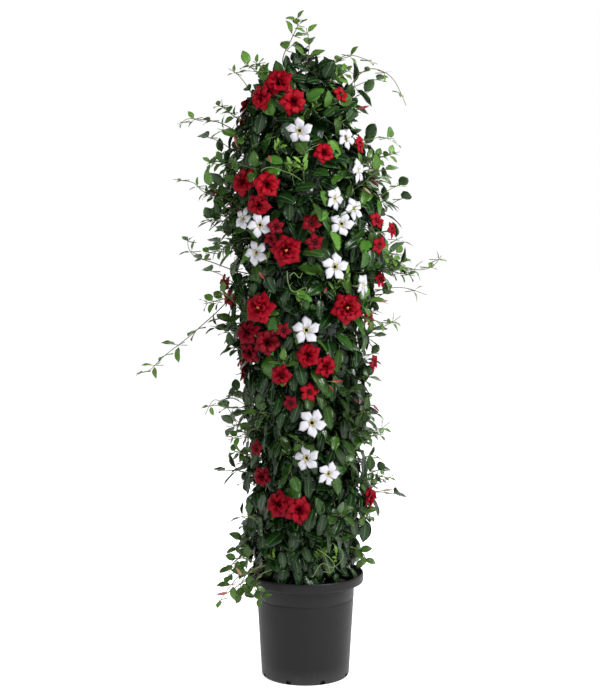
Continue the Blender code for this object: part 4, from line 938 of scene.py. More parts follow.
class Board:
    # One material's nodes.

    def __init__(self, name, colour):
        self.material = bpy.data.materials.new(name)
        self.material.use_nodes = True
        self.material.diffuse_color = (*colour, 1.0)
        self.tree = self.material.node_tree
        self.shader = self.tree.nodes["Principled BSDF"]

    def node(self, kind, settings=None, sockets=None, output=0):
        made = self.tree.nodes.new(kind)
        for key, value in (settings or {}).items():
            if key == "stops":
                ramp = made.color_ramp
                while len(ramp.elements) > 1:
                    ramp.elements.remove(ramp.elements[-1])
                for number, (place, colour) in enumerate(value):
                    stop = ramp.elements[0] if number == 0 else ramp.elements.new(place)
                    stop.position = place
                    stop.color = (*colour, 1.0)
            else:
                setattr(made, key, value)
        for key, value in (sockets or {}).items():
            if isinstance(value, Wire):
                self.tree.links.new(value.socket, made.inputs[key])
            elif value is not None:
                made.inputs[key].default_value = value
        return Wire(self, made.outputs[output])

    def attribute(self, name):
        return self.node("ShaderNodeAttribute", {"attribute_name": name}, output="Fac")

    def place(self):
        return self.node("ShaderNodeTexCoord", output="Object")

    def noise(self, scale, detail=3.0, roughness=0.5, where=None):
        return self.node(
            "ShaderNodeTexNoise", {},
            {"Vector": where or self.place(), "Scale": scale, "Detail": detail, "Roughness": roughness},
        )

    def mix(self, share, first, second, blend="MIX"):
        # A mix of two colours by a share that may vary.
        made = self.tree.nodes.new("ShaderNodeMix")
        made.data_type = "RGBA"
        made.blend_type = blend
        sockets = [made.inputs[0], made.inputs[6], made.inputs[7]]
        for socket, value in zip(sockets, (share, first, second)):
            if isinstance(value, Wire):
                self.tree.links.new(value.socket, socket)
            else:
                socket.default_value = value if socket is sockets[0] else (*value, 1.0)
        return Wire(self, made.outputs[2])

    def ramp(self, value, stops):
        return self.node("ShaderNodeValToRGB", {"stops": stops}, {"Fac": value})

    def feed(self, name, value):
        if isinstance(value, Wire):
            self.tree.links.new(value.socket, self.shader.inputs[name])
        else:
            self.shader.inputs[name].default_value = value

    def bump(self, height, strength, distance):
        self.feed("Normal", self.node(
            "ShaderNodeBump", {}, {"Height": height, "Strength": strength, "Distance": distance}
        ))


leafColours = {
    "deep": (0.0030, 0.0130, 0.0028), "mid": (0.0095, 0.0380, 0.0060), "bright": (0.058, 0.170, 0.017),
    "young": (0.180, 0.350, 0.050), "vein": (0.060, 0.150, 0.035), "under": (0.055, 0.095, 0.045),
}


def leafMaterial():
    board = Board("mandevillaLeaf", leafColours["mid"])
    across, along = board.attribute("across"), board.attribute("along")
    tone, age, under = board.attribute("tone"), board.attribute("age"), board.attribute("under")
    edge = across.size()
    blotch = board.noise(38.0, 4.0, 0.6)
    # The tone also carries painted shade deep in the growth and lower down. It takes the colour from deep to
    # bright.
    base = board.mix((tone * 0.85 + (blotch - 0.5) * 0.9).clamped(), leafColours["deep"], leafColours["mid"])
    base = board.mix(((tone - 0.62) * 2.2 + (blotch - 0.5) * 0.5).clamped(), base, leafColours["bright"])
    base = board.mix((age * 0.85).clamped(), base, leafColours["young"])
    midrib = (1.0 - edge * 9.0).clamped()
    slant = (along * 9.0 - edge * 1.6 + 0.2 * blotch).fraction()
    side = (1.0 - ((slant - 0.5).size() * 2.0) * 5.0).clamped() * (1.0 - edge * 0.9).clamped()
    veins = (midrib * 0.75 + side * 0.30).clamped()
    base = board.mix(veins, base, leafColours["vein"])
    base = board.mix((under * 0.85).clamped(), base, leafColours["under"])
    board.feed("Base Color", base)
    board.feed("Roughness", (0.17 + blotch * 0.16 + under * 0.34).clamped())
    board.shader.inputs["Specular IOR Level"].default_value = 0.30
    relief = 1.0 - midrib * 0.9 - side * 0.45 + board.noise(260.0, 2.0) * 0.10
    board.bump(relief, 0.55, 0.0006)
    return board.material


def stemMaterial():
    board = Board("vineStem", (0.06, 0.06, 0.03))
    along, tone = board.attribute("along"), board.attribute("tone")
    grain = board.noise(140.0, 4.0, 0.65)
    green = board.mix(tone, (0.085, 0.040, 0.035), (0.085, 0.150, 0.030))
    bark = board.mix(grain, (0.045, 0.026, 0.015), (0.150, 0.100, 0.060))
    board.feed("Base Color", board.mix((along * 1.4 - 0.2).clamped(), bark, green))
    board.feed("Roughness", 0.50 + grain * 0.25)
    board.bump(grain, 0.5, 0.0008)
    return board.material


def petalMaterial(kind):
    colours = {
        "red": {"edge": (0.195, 0.001, 0.009), "body": (0.285, 0.002, 0.009), "heart": (0.040, 0.001, 0.003),
                "vein": (0.17, 0.001, 0.005), "under": (0.24, 0.006, 0.014)},
        "white": {"edge": (0.53, 0.52, 0.57), "body": (0.475, 0.47, 0.505), "heart": (0.54, 0.48, 0.24),
                  "vein": (0.44, 0.42, 0.49), "under": (0.60, 0.62, 0.56)},
    }[kind]
    board = Board(f"{kind}Petal", colours["body"])
    across, along = board.attribute("across"), board.attribute("along")
    tone, under = board.attribute("tone"), board.attribute("under")
    grain = board.noise(90.0, 3.0, 0.55)
    base = board.mix(((along - 0.55) * 1.6 + (grain - 0.5) * 0.5).clamped(), colours["body"], colours["edge"])
    fan = ((across * 13.0 + grain * 1.2).sine() * 0.5 + 0.5) ** 5.0
    base = board.mix((fan * (0.40 - along * 0.25)).clamped(), base, colours["vein"])
    reach = 3.0 if kind == "red" else 6.0
    base = board.mix((1.0 - along * reach).clamped() ** 1.3, base, colours["heart"])
    if kind == "red":
        # The red darkens to a deep wine by the tone. This is partly random, and partly painted shade lower down
        # and on the flowers listed as shaded.
        wineAndPaintedShade = board.mix(0.62, base, (0.045, 0.001, 0.006))
        base = board.mix((tone * 1.05).clamped(), base, wineAndPaintedShade)
    base = board.mix((under * 0.6).clamped(), base, colours["under"])
    board.feed("Base Color", base)
    board.feed("Roughness", (0.42 + grain * 0.18).clamped())
    board.shader.inputs["Specular IOR Level"].default_value = 0.08 if kind == "red" else 0.25
    board.bump(fan * 0.5 + grain * 0.5, 0.35, 0.0008)
    return board.material


def tubeMaterial(kind):
    # The inside colour, near black for the red and dark brown for the white, is painted shade deep in the tube.
    inside = {"red": (0.020, 0.002, 0.002), "white": (0.055, 0.030, 0.006)}[kind]
    throat = {"red": (0.10, 0.003, 0.004), "white": (0.72, 0.62, 0.26)}[kind]
    outer = {"red": (0.30, 0.020, 0.020), "white": (0.62, 0.70, 0.42)}[kind]
    green = (0.120, 0.200, 0.040)
    board = Board(f"{kind}Tube", outer)
    along, across = board.attribute("along"), board.attribute("across")
    grain = board.noise(120.0, 3.0)
    depth = (along * -1.0).clamped()
    # Deeper in, the throat colour darkens to the inside colour: painted shade.
    inner = board.mix(((depth - 0.06) * 4.5).clamped(), throat, inside)
    shell = board.mix(((along * -1.0 - 0.45) * 2.0).clamped(), outer, green)
    base = board.mix(across, shell, inner)
    board.feed("Base Color", board.mix((grain * 0.25).clamped(), base, (0.05, 0.05, 0.02)))
    board.feed("Roughness", 0.45 + grain * 0.15)
    board.bump(grain, 0.3, 0.0006)
    return board.material


def antherMaterial():
    board = Board("anther", (0.55, 0.16, 0.02))
    grain = board.noise(500.0, 3.0)
    board.feed("Base Color", board.mix(grain, (0.42, 0.08, 0.01), (0.75, 0.32, 0.05)))
    board.feed("Roughness", 0.6 + grain * 0.2)
    board.bump(grain, 0.6, 0.0006)
    return board.material


def budMaterial():
    board = Board("flowerBud", (0.40, 0.02, 0.03))
    along, tone = board.attribute("along"), board.attribute("tone")
    grain = board.noise(120.0, 3.0)
    base = board.ramp(along + (grain - 0.5) * 0.12, (
        (0.0, (0.10, 0.19, 0.04)), (0.22, (0.24, 0.14, 0.06)), (0.45, (0.30, 0.024, 0.040)),
        (1.0, (0.19, 0.005, 0.012)),
    ))
    board.feed("Base Color", board.mix((tone - 0.72).clamped() * 2.6, base, (0.55, 0.50, 0.34)))
    board.feed("Roughness", 0.38 + grain * 0.2)
    board.bump(grain, 0.3, 0.0006)
    return board.material


def potMaterial():
    board = Board("nurseryPlastic", (0.034, 0.033, 0.038))
    height = board.node("ShaderNodeSeparateXYZ", {}, {0: board.place()}, output=2)
    fine = board.noise(420.0, 4.0, 0.6)
    cloud = board.noise(9.0, 4.0, 0.6)
    scuffs = board.noise(60.0, 5.0, 0.7)
    base = board.mix(cloud, (0.0040, 0.0040, 0.0049), (0.0068, 0.0066, 0.0079))
    dust = ((0.05 - height) * 16.0).clamped() * scuffs
    rubbed = ((scuffs - 0.62) * 2.0).clamped() * 0.25
    base = board.mix((dust * 0.5 + rubbed).clamped(), base, (0.10, 0.095, 0.09))
    board.feed("Base Color", base)
    board.feed("Roughness", (0.36 + cloud * 0.12 + scuffs * 0.12).clamped())
    board.shader.inputs["Specular IOR Level"].default_value = 0.22
    hoops = (height * 2600.0).sine() * 0.12
    board.bump(fine * 0.6 + hoops + scuffs * 0.2, 0.22, 0.0005)
    return board.material


def soilMaterial():
    board = Board("pottingSoil", (0.035, 0.022, 0.014))
    grain, lumps = board.noise(160.0, 5.0, 0.7), board.noise(36.0, 4.0, 0.6)
    base = board.mix(grain, (0.012, 0.008, 0.005), (0.075, 0.048, 0.030))
    fleck = ((board.noise(330.0, 1.0) - 0.70) * 12.0).clamped()
    board.feed("Base Color", board.mix(fleck, base, (0.45, 0.43, 0.38)))
    board.feed("Roughness", 0.82 + lumps * 0.15)
    board.bump(grain * 0.6 + lumps, 0.9, 0.004)
    return board.material


def caneMaterial():
    board = Board("bambooCane", (0.42, 0.32, 0.14))
    where = board.place()
    stretch = board.node("ShaderNodeMapping", {}, {"Vector": where, "Scale": (1.0, 1.0, 0.05)})
    fibre = board.noise(420.0, 3.0, 0.6, stretch)
    stain = board.noise(14.0, 4.0, 0.6)
    base = board.mix(fibre, (0.30, 0.22, 0.09), (0.50, 0.38, 0.18))
    board.feed("Base Color", board.mix((stain - 0.45).clamped() * 1.6, base, (0.14, 0.09, 0.04)))
    board.feed("Roughness", 0.42 + fibre * 0.2)
    board.bump(fibre, 0.4, 0.0005)
    return board.material


def tieMaterial():
    board = Board("jute", (0.30, 0.22, 0.12))
    twist = board.noise(600.0, 3.0, 0.7)
    board.feed("Base Color", board.mix(twist, (0.16, 0.11, 0.05), (0.44, 0.34, 0.18)))
    board.feed("Roughness", 0.80 + twist * 0.15)
    board.bump(twist, 0.7, 0.0008)
    return board.material


# The pot and what stands in it

pot = {
    "height": 0.325, "rimRadius": 0.180, "rimDepth": 0.032, "bodyTop": 0.1545, "foot": 0.136,
    "drains": 8, "drainWidth": 0.016, "drainHeight": 0.014, "steps": 144,
}


def potProfile():
    # From the middle of the floor up the inner wall, over the rolled rim, down the outside.
    top, rim = pot["height"], pot["rimRadius"]
    under = top - pot["rimDepth"]
    turn = np.linspace(math.pi * 0.9, -math.pi * 0.08, 9)
    lip = [(rim - 0.0028 + 0.0028 * math.cos(a), top - 0.0075 + 0.0075 * math.sin(a)) for a in turn]
    low = np.linspace(0, math.pi / 2, 7)
    foot = [
        (pot["foot"] - 0.0072 + 0.0072 * math.cos(a), 0.0080 - 0.0080 * math.sin(a)) for a in low
    ]
    swell = np.linspace(0, math.pi / 2, 6)
    flare = [
        (pot["bodyTop"] + 0.0245 * math.sin(a), under + 0.005 * (1 - math.cos(a))) for a in swell
    ]
    wall = [
        (pot["bodyTop"] - 0.0004, under - 0.0112), (pot["bodyTop"] - 0.0008, under - 0.0124),
        (pot["bodyTop"] - 0.0032, under - 0.0136), (pot["bodyTop"] - 0.0036, under - 0.0150),
        (pot["bodyTop"] - 0.0044, 0.2482), (pot["bodyTop"] - 0.0052, 0.2472),
        (pot["bodyTop"] - 0.0046, 0.2458), (pot["bodyTop"] - 0.0050, 0.2400),
    ]
    down = [
        (pot["foot"] + (pot["bodyTop"] - 0.0050 - pot["foot"]) * share, 0.008 + 0.232 * share)
        for share in np.linspace(1, 0, 12)[1:-1]
    ]
    inner = [
        (0.0, 0.010), (0.126, 0.010), (0.1315, 0.015), (pot["bodyTop"] - 0.006, under - 0.012),
        (pot["bodyTop"] - 0.0025, under + 0.004), (rim - 0.012, under + 0.006), (rim - 0.0060, under + 0.014),
    ]
    outer = [(rim - 0.0002, under + 0.012), (rim - 0.0010, under + 0.0075)] + flare[::-1] + wall + down + foot
    return inner + lip + outer + [(0.0, 0.0)]


def buildPot(materials):
    points, quads = turnedSurface(potProfile(), pot["steps"])
    heap = Heap()
    heap.add(points, quads)
    piece = heap.build("potShell", [materials["pot"]])
    cutter = Heap()
    for number in range(pot["drains"]):
        angle = math.tau * (number + 0.5) / pot["drains"]
        out = np.array([math.cos(angle), math.sin(angle), 0.0])
        path = np.array([out * (pot["foot"] - 0.013), out * (pot["foot"] + 0.016)])
        path[:, 2] = 0.0075
        side = np.array([-out[1], out[0], 0.0])
        turn = np.linspace(0, math.tau, 20, endpoint=False)
        # a slot with round ends: a stretched circle to the fourth power, carried outwards
        wide = np.sign(np.cos(turn)) * np.abs(np.cos(turn)) ** 0.5 * pot["drainWidth"] / 2
        tall = np.sign(np.sin(turn)) * np.abs(np.sin(turn)) ** 0.5 * pot["drainHeight"] / 2
        ring = path[:, None] + wide[None, :, None] * side + tall[None, :, None] * np.array([0, 0, 1.0])
        ends = path
        grid = gridFaces(2, 20, wrap=True)
        first = np.arange(20)
        caps = np.concatenate([
            triangles(np.full(20, 40), np.roll(first, -1), first),
            triangles(np.full(20, 41), first + 20, np.roll(first + 20, -1)),
        ])
        cutter.add(np.concatenate([ring.reshape(-1, 3), ends]), np.concatenate([grid, caps]))
    holes = cutter.build("drainCutter", [])
    modifier = piece.modifiers.new("drains", "BOOLEAN")
    modifier.operation = "DIFFERENCE"
    modifier.object = holes
    modifier.solver = "EXACT"
    graph = bpy.context.evaluated_depsgraph_get()
    mesh = bpy.data.meshes.new_from_object(piece.evaluated_get(graph))
    piece.modifiers.clear()
    piece.data = mesh
    mesh.materials.clear()
    mesh.materials.append(materials["pot"])
    mesh.polygons.foreach_set("use_smooth", np.ones(len(mesh.polygons), bool))
    mesh.set_sharp_from_angle(angle=math.radians(38))
    bpy.data.objects.remove(holes, do_unlink=True)
    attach(piece, "root")
    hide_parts("pot")


def buildSoil(materials):
    # A disc whose height is the soil's top plus a row of sine ripples, each tighter and lower than
    # the last, less a drop at its edge of 6 mm times (radius / edge)^8. A skirt hangs below it.
    rng = np.random.default_rng(5)
    edge = pot["bodyTop"] - 0.0075
    radius = np.linspace(0, 1, soil["rings"])[1:, None] * edge
    turn = np.linspace(0, math.tau, soil["spokes"], endpoint=False)[None, :]
    x, y = radius * np.cos(turn), radius * np.sin(turn)
    height = np.full(x.shape, soil["top"])
    for wave in range(soil["waves"]):
        angle = rng.random() * math.tau
        pitch = soil["pitch"] + soil["pitchRise"] * (wave / soil["waves"]) ** 1.5
        along = x * math.cos(angle) + y * math.sin(angle)
        height += soil["crumb"] / (3 + wave) * np.sin(pitch * along + wave)
    height -= 0.006 * (radius / edge) ** 8
    rings = np.stack([x, y, height], axis=-1)
    skirt = rings[-1] * np.array([0.93, 0.93, 0.0]) + np.array([0, 0, 0.02])
    points = np.concatenate([
        rings.reshape(-1, 3), skirt, [(0, 0, soil["top"])], [(0, 0, 0.02)],
    ])
    spokes, levels = soil["spokes"], len(radius) + 1
    quads = gridFaces(levels, spokes, wrap=True)
    first = np.arange(spokes)
    last = first + (levels - 1) * spokes
    caps = np.concatenate([
        triangles(np.full(spokes, levels * spokes), first, np.roll(first, -1)),
        triangles(np.full(spokes, levels * spokes + 1), np.roll(last, -1), last),
    ])
    heap = Heap()
    heap.add(points, np.concatenate([quads, caps]))
    piece = heap.build("pottingSoil", [materials["soil"]])
    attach(piece, "root")
    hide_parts("soil")


cane = {"radius": 0.006, "circle": 0.016, "top": 1.70, "bottom": 0.10, "jointEvery": 0.21}


def buildCanes(materials):
    for number in range(3):
        angle = math.radians(30) + math.tau * number / 3
        x, y = cane["circle"] * math.cos(angle), cane["circle"] * math.sin(angle)
        heights, radii = [cane["bottom"]], [cane["radius"] * 0.9]
        joint = cane["top"] - 0.05 - 0.04 * number
        joints = []
        while joint > soil["top"] + 0.05:
            joints.append(joint)
            joint -= cane["jointEvery"]
        for middle in reversed(joints):
            for offset, share in ((-0.012, 0.86), (-0.003, 0.90), (0.0, 1.0), (0.003, 0.93), (0.010, 0.86)):
                heights.append(middle + offset)
                radii.append(cane["radius"] * share)
        heights.append(cane["top"])
        radii.append(cane["radius"] * 0.86)
        path = np.stack([np.full(len(heights), x), np.full(len(heights), y), heights], axis=-1)
        points, quads = tubeAlong(path, radii, 18)
        heap = Heap()
        heap.add(points, quads)
        piece = heap.build(f"bambooCane{number + 1}", [materials["cane"]])
        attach(piece, "root")
        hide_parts(f"cane_{number + 1}")


tie = {"heights": (0.62, 1.22), "cord": 0.0011, "turns": 3}


def buildTies(materials):
    # Three turns of thin cord round the canes.
    for number, height in enumerate(tie["heights"]):
        turn = np.linspace(0, math.tau * tie["turns"], 40 * tie["turns"])
        ring = cane["circle"] + cane["radius"] + tie["cord"] * 1.2
        path = np.stack([
            ring * np.cos(turn), ring * np.sin(turn), height + tie["cord"] * (turn / math.pi - tie["turns"]),
        ], axis=-1)
        points, quads = tubeAlong(path, tie["cord"], 8)
        heap = Heap()
        heap.add(points, quads)
        piece = heap.build(f"caneTie{number + 1}", [materials["tie"]])
        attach(piece, "root")
        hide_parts(f"tie_{number + 1}")


# The vines

def woodyStem(index, stems):
    # The main stem: it leaves the soil where the solid's does and winds up the canes.
    heights = np.linspace(soil["top"] - 0.05, 1.80, 120)
    path, radii = [], []
    for height in heights:
        centre, radius, angle = strand(index, max(height, soil["top"] - 0.05))
        share = min(max((height - 0.33) / 0.15, 0.0), 1.0)
        wind = angle + 9.0 * (height - 0.33) * share
        wander = 0.45 * radius * share
        path.append(centre + wander * np.array([math.cos(wind), math.sin(wind), 0.0]))
        radii.append(0.0060 - 0.0028 * (height - 0.28) / 1.5)
    points, quads = tubeAlong(path, radii, 9)
    stems[index].add(points, quads, along=0.0, tone=0.2)


def innerCore(index, heap):
    # The dark heart of the growth: the solid's core drawn in, rough with ripples, in the darkest leaf colour,
    # which is painted shade.
    heights = np.linspace(0.40, 1.84, 90)
    turn = np.linspace(0, math.tau, 22, endpoint=False)
    rows = []
    for height in heights:
        centre, radius, angle = strand(index, height)
        shrink = 0.66 * radius * min(1.0, (height - 0.385) / 0.06, max(0.15, (1.86 - height) / 0.06))
        ripple = 1 + 0.16 * np.sin(5 * turn + 70 * height) * np.sin(3 * turn - 41 * height)
        around = np.stack([np.cos(turn), np.sin(turn), np.zeros(len(turn))], axis=-1)
        rows.append(centre + shrink * ripple[:, None] * around)
    rings = np.array(rows)
    count = len(heights)
    ends = np.array([rings[0].mean(axis=0), rings[-1].mean(axis=0)])
    points = np.concatenate([rings.reshape(-1, 3), ends])
    quads = gridFaces(count, len(turn), wrap=True)
    first = np.arange(len(turn))
    last = first + (count - 1) * len(turn)
    caps = np.concatenate([
        triangles(np.full(len(turn), count * len(turn)), np.roll(first, -1), first),
        triangles(np.full(len(turn), count * len(turn) + 1), last, np.roll(last, -1)),
    ])
    heap.add(points, np.concatenate([quads, caps]), along=0.5, across=0.5, under=0.0, tone=0.0, age=0.0)


def growLeaves(trees, leaves):
    # The solids' own leaves, found again.
    rng = np.random.default_rng(leaf["seed"])
    kept = [0] * vine["count"]
    for trial in range(leaf["tries"]):
        index = trial % vine["count"]
        root, along, up, length, width = drawLeaf(rng, index)
        if kept[index] >= leaf["perVine"]:
            continue
        if leafStands(trees[index], root, along, up, length, width):
            kept[index] += 1
            leaves[index].add(root, along, up, length, 0.90 * width, (trial * 0.618) % 1.0, 0.0)
    print("leaves found in the solids:", kept)


def clearOfPot(points):
    # Leaves stay above the soil, and keep out of the rim.
    points = np.asarray(points)
    radius = np.hypot(points[:, 0], points[:, 1])
    low = points[:, 2] < pot["height"] + 0.006
    rim = (radius > pot["rimRadius"] - 0.014) & (radius < pot["rimRadius"] + 0.004)
    return not (low & rim).any() and points[:, 2].min() > soil["top"] + 0.006


foliage = {
    "seed": 1914, "length": 0.080, "slim": 0.53, "lowest": 0.312,
    # how many leaves, how far in and out on the column's radius, how far apart, brightness,
    # and up to which height. The inner layer, at brightness 0, is painted darker: painted shade inside the
    # growth.
    "layers": ((800, 0.60, 0.78, 0.023, 0.0, 1.915), (150, 0.40, 0.88, 0.020, 0.20, 0.42),
               (620, 0.80, 0.97, 0.029, 0.30, 1.915)),
    "hangBelow": 1.20, "crownAbove": 1.78,
    "tries": 12000, "sprays": 112, "sprayLeaf": 0.065, "frontLimit": 0.262, "backLimit": 0.292,
}


def inDepth(place, margin):
    return margin - foliage["frontLimit"] < place[1] < foliage["backLimit"] - margin


def fillColumn(leaves, flowers):
    # Leaves over the whole column in two layers. Each is drawn at a height and a bearing,
    # hangs with a random swing, and is left out where another leaf's middle is too near.
    rng = np.random.default_rng(foliage["seed"])
    spots = np.zeros((9000, 3))
    own = [row for part in leaves for row in part.middles]
    spots[: len(own)] = own
    filled = len(own)
    for wanted, near, far, apart, bright, highest in foliage["layers"]:
        made = 0
        for _ in range(foliage["tries"]):
            height = foliage["lowest"] + (highest - foliage["lowest"]) * rng.random()
            bearing, depth = math.tau * rng.random(), near + (far - near) * rng.random()
            size, tone, fresh = 0.74 + 0.42 * rng.random(), rng.random(), rng.random()
            swing = math.radians(135) * (rng.random() + rng.random() - 1)
            out, tilt = -0.08 + 0.62 * rng.random(), 0.9 * (rng.random(3) - 0.5)
            if made >= wanted:
                continue
            slim = foliage["slim"]
            if height < foliage["hangBelow"] and tone < 0.75:
                swing, out, size, slim = 0.45 * swing, 0.6 * out, 1.14 * size, 0.42
            away = np.array([math.cos(bearing), math.sin(bearing), 0.0])
            depth *= 1 - 3.4 * max(0.0, height - foliage["crownAbove"])
            middle = away * columnRadius(height, away[0]) * depth + np.array([0.0, 0.0, height])
            if np.min(np.linalg.norm(spots[:filled] - middle, axis=1)) < apart:
                continue
            tangent = np.array([-away[1], away[0], 0.0])
            lift = 1.0 if height > 1.72 else -1.0
            rest = math.sin(swing) * tangent + lift * math.cos(swing) * np.array([0.0, 0.0, 1.0])
            along = unit(out * away + math.sqrt(1 - out * out) * rest)
            up = leafFrame(away, along, tilt)
            length = foliage["length"] * size * (0.85 if height > 1.78 else 1.0)
            root = middle - 0.5 * length * along
            side = np.cross(along, up) * 0.4 * slim * length
            test = [root, root + 0.75 * length * along, root + length * along, middle + side, middle - side]
            if hidesFlower(test, flowers) or not clearOfPot(test):
                continue
            index = nearestVine(middle)
            young = bright * max(0.0, fresh - 0.55) * 1.6
            # Leaves lower down are darker and less fresh: partly their age, partly painted shade of the lower
            # growth.
            ageAndPaintedShade = min(1.0, 0.40 + 0.45 * height)
            # Leaves of a layer without brightness keep at most 0.55 of their tone: painted shade inside the
            # growth.
            light = ageAndPaintedShade * (tone**1.5 * (0.95 if bright else 0.55) + 0.8 * bright * fresh)
            leaves[index].add(root, along, up, length, slim * length, min(1.0, light), ageAndPaintedShade * young)
            spots[filled] = middle
            filled += 1
            made += 1
        print("leaves between", near, "and", far, "of the radius:", made)


def growSprays(stems, leaves, flowers):
    # Short twigs that leave the growth, rise and nod, with opposite pairs of leaves, each pair
    # square to the last and smaller than it.
    rng = np.random.default_rng(foliage["seed"] + 3)
    made = 0
    for _ in range(6 * foliage["sprays"]):
        height = 0.44 + 1.44 * rng.random() ** 0.80
        bearing = math.tau * rng.random()
        reachOut = 0.075 + 0.075 * rng.random()
        rise, sideways = 0.10 + 0.95 * rng.random(), 0.9 * (rng.random() - 0.5)
        sizes, tone, turnFirst = 0.82 + 0.34 * rng.random(), rng.random(), rng.random() * math.pi
        pairs = 2 + int(rng.random() * 2)
        if made >= foliage["sprays"]:
            continue
        away = np.array([math.cos(bearing), math.sin(bearing), 0.0])
        tangent = np.array([-away[1], away[0], 0.0])
        radius = columnRadius(height, away[0])
        start = away * radius * (0.74 if height < 1.0 else 0.80) + np.array([0.0, 0.0, height])
        heading = unit(away + rise * np.array([0.0, 0.0, 1.0]) + sideways * tangent)
        end = start + reachOut * heading - np.array([0.0, 0.0, 0.12 * reachOut])
        if not inDepth(end, 0.015) or abs(end[0]) > 0.40 or end[2] > 1.87:
            continue
        if height > 1.62 and tone < 0.55:
            continue
        path = smoothRoute([away * radius * 0.45 + np.array([0.0, 0.0, height - 0.02]), start,
                            start + 0.55 * reachOut * heading, end], 13)
        if hidesFlower(path[4:], flowers):
            continue
        index = nearestVine(start)
        blades = []
        for pair in range(pairs):
            node = path[int(12 * (0.36 + 0.64 * (pair + 0.5) / pairs))]
            level, upright = frameAbout(heading)
            turn = turnFirst + math.pi / 2 * pair
            beside = math.cos(turn) * level + math.sin(turn) * upright
            size = foliage["sprayLeaf"] * sizes * (1.12 - 0.50 * pair / pairs)
            for hand in (1.0, -1.0):
                along = unit(hand * beside + (0.45 + 0.25 * pair) * heading + np.array([0.0, 0.0, -0.18]))
                up = leafFrame(away, along, 0.5 * (rng.random(3) - 0.5))
                test = [node + share * size * along for share in (0.3, 0.65, 1.0)]
                if hidesFlower(test, flowers) or not clearOfPot(test):
                    continue
                if not inDepth(test[2], 0.0):
                    continue
                # Leaves lower down are darker and less fresh: partly their age, partly painted shade of the
                # lower growth.
                ageAndPaintedShade = min(1.0, 0.40 + 0.45 * height)
                blades.append((node, along, up, size, 0.54 * size, ageAndPaintedShade * (0.45 + 0.55 * tone),
                               ageAndPaintedShade * (0.10 + 0.16 * pair * tone)))
        if len(blades) < 4:
            continue
        for blade in blades:
            leaves[index].add(*blade)
        points, quads = tubeAlong(path, np.linspace(0.0019, 0.0009, len(path)), 5)
        stems[index].add(points, quads, along=0.8, tone=0.35 + 0.5 * tone)
        made += 1
    print("sprays:", made)


# Leafy twigs that stand out of the growth: columns and rows, depth, pairs, leaf length
twigs = (
    (((258, 566), (247, 572), (240, 584), (243, 596)), 0.150, 3, 0.056),
    (((262, 572), (254, 582), (256, 592), (264, 600)), 0.195, 2, 0.050),
    (((254, 560), (240, 556), (230, 565), (228, 577)), 0.130, 3, 0.052),
    (((250, 536), (240, 540), (236, 552)), 0.080, 2, 0.056),
    (((350, 500), (362, 508), (372, 517)), 0.080, 2, 0.060),
    (((352, 545), (362, 552), (366, 562)), 0.070, 2, 0.056),
    (((256, 424), (240, 432), (228, 436)), 0.090, 2, 0.050),
    (((256, 452), (242, 450), (230, 446)), 0.060, 2, 0.048),
    (((352, 478), (370, 478), (386, 470)), 0.070, 3, 0.042),
    (((240, 118), (226, 108), (218, 104)), 0.060, 2, 0.044),
    (((240, 170), (222, 160), (208, 162)), 0.060, 3, 0.048),
    (((240, 202), (222, 196), (206, 190)), 0.050, 3, 0.048),
    (((236, 238), (222, 246), (206, 250)), 0.060, 3, 0.050),
    (((238, 292), (220, 296), (204, 300)), 0.080, 3, 0.054),
    (((360, 160), (376, 156), (392, 152)), 0.070, 3, 0.046),
    (((366, 250), (386, 252), (404, 262)), 0.080, 3, 0.050),
    (((370, 262), (392, 268), (414, 272)), 0.050, 3, 0.050),
    (((362, 312), (380, 318), (396, 318)), 0.070, 3, 0.048),
    (((352, 428), (368, 432), (384, 430)), 0.060, 3, 0.040),
    (((326, 84), (338, 76), (350, 70)), 0.070, 3, 0.046),
    (((272, 78), (262, 68), (254, 62)), 0.060, 2, 0.040),
)


def growTwigs(stems, leaves, flowers):
    # The photograph's own leafy twigs, with pairs of leaves all along them.
    rng = np.random.default_rng(foliage["seed"] + 4)
    for route, depth, pairs, length in twigs:
        places = [atDepth(column, row, depth) for column, row in route]
        inward = unit(np.array([places[0][0], places[0][1], 0.0]))
        path = smoothRoute([places[0] - 0.06 * inward, *places], 6 * len(places))
        index = nearestVine(places[0])
        points, quads = tubeAlong(path, np.linspace(0.0021, 0.0010, len(path)), 6)
        stems[index].add(points, quads, along=0.9, tone=0.5)
        turnFirst = rng.random() * math.pi
        for pair in range(2 * pairs):
            at = 0.34 + 0.66 * (pair + 0.6) / (2 * pairs)
            number = int(at * (len(path) - 2))
            node, forward = path[number], unit(path[number + 1] - path[number])
            level, upright = frameAbout(forward)
            turn = turnFirst + math.pi / 2 * pair
            beside = math.cos(turn) * level + math.sin(turn) * upright
            size = length * (1.10 - 0.42 * at) * (0.9 + 0.2 * rng.random())
            for hand in (1.0, -1.0):
                along = unit(hand * beside + 0.6 * forward + np.array([0.0, -0.05, -0.12]))
                up = leafFrame(inward + np.array([0.0, -0.6, 0.0]), along, 0.5 * (rng.random(3) - 0.5))
                if hidesFlower([node + 0.5 * size * along, node + size * along], flowers):
                    continue
                # Leaves lower down are darker and less fresh: partly their age, partly painted shade of the
                # lower growth.
                ageAndPaintedShade = min(1.0, 0.45 + 0.45 * node[2])
                leaves[index].add(node, along, up, size, 0.56 * size, ageAndPaintedShade * (0.5 + 0.5 * rng.random()),
                                  ageAndPaintedShade * (0.15 + 0.35 * at))


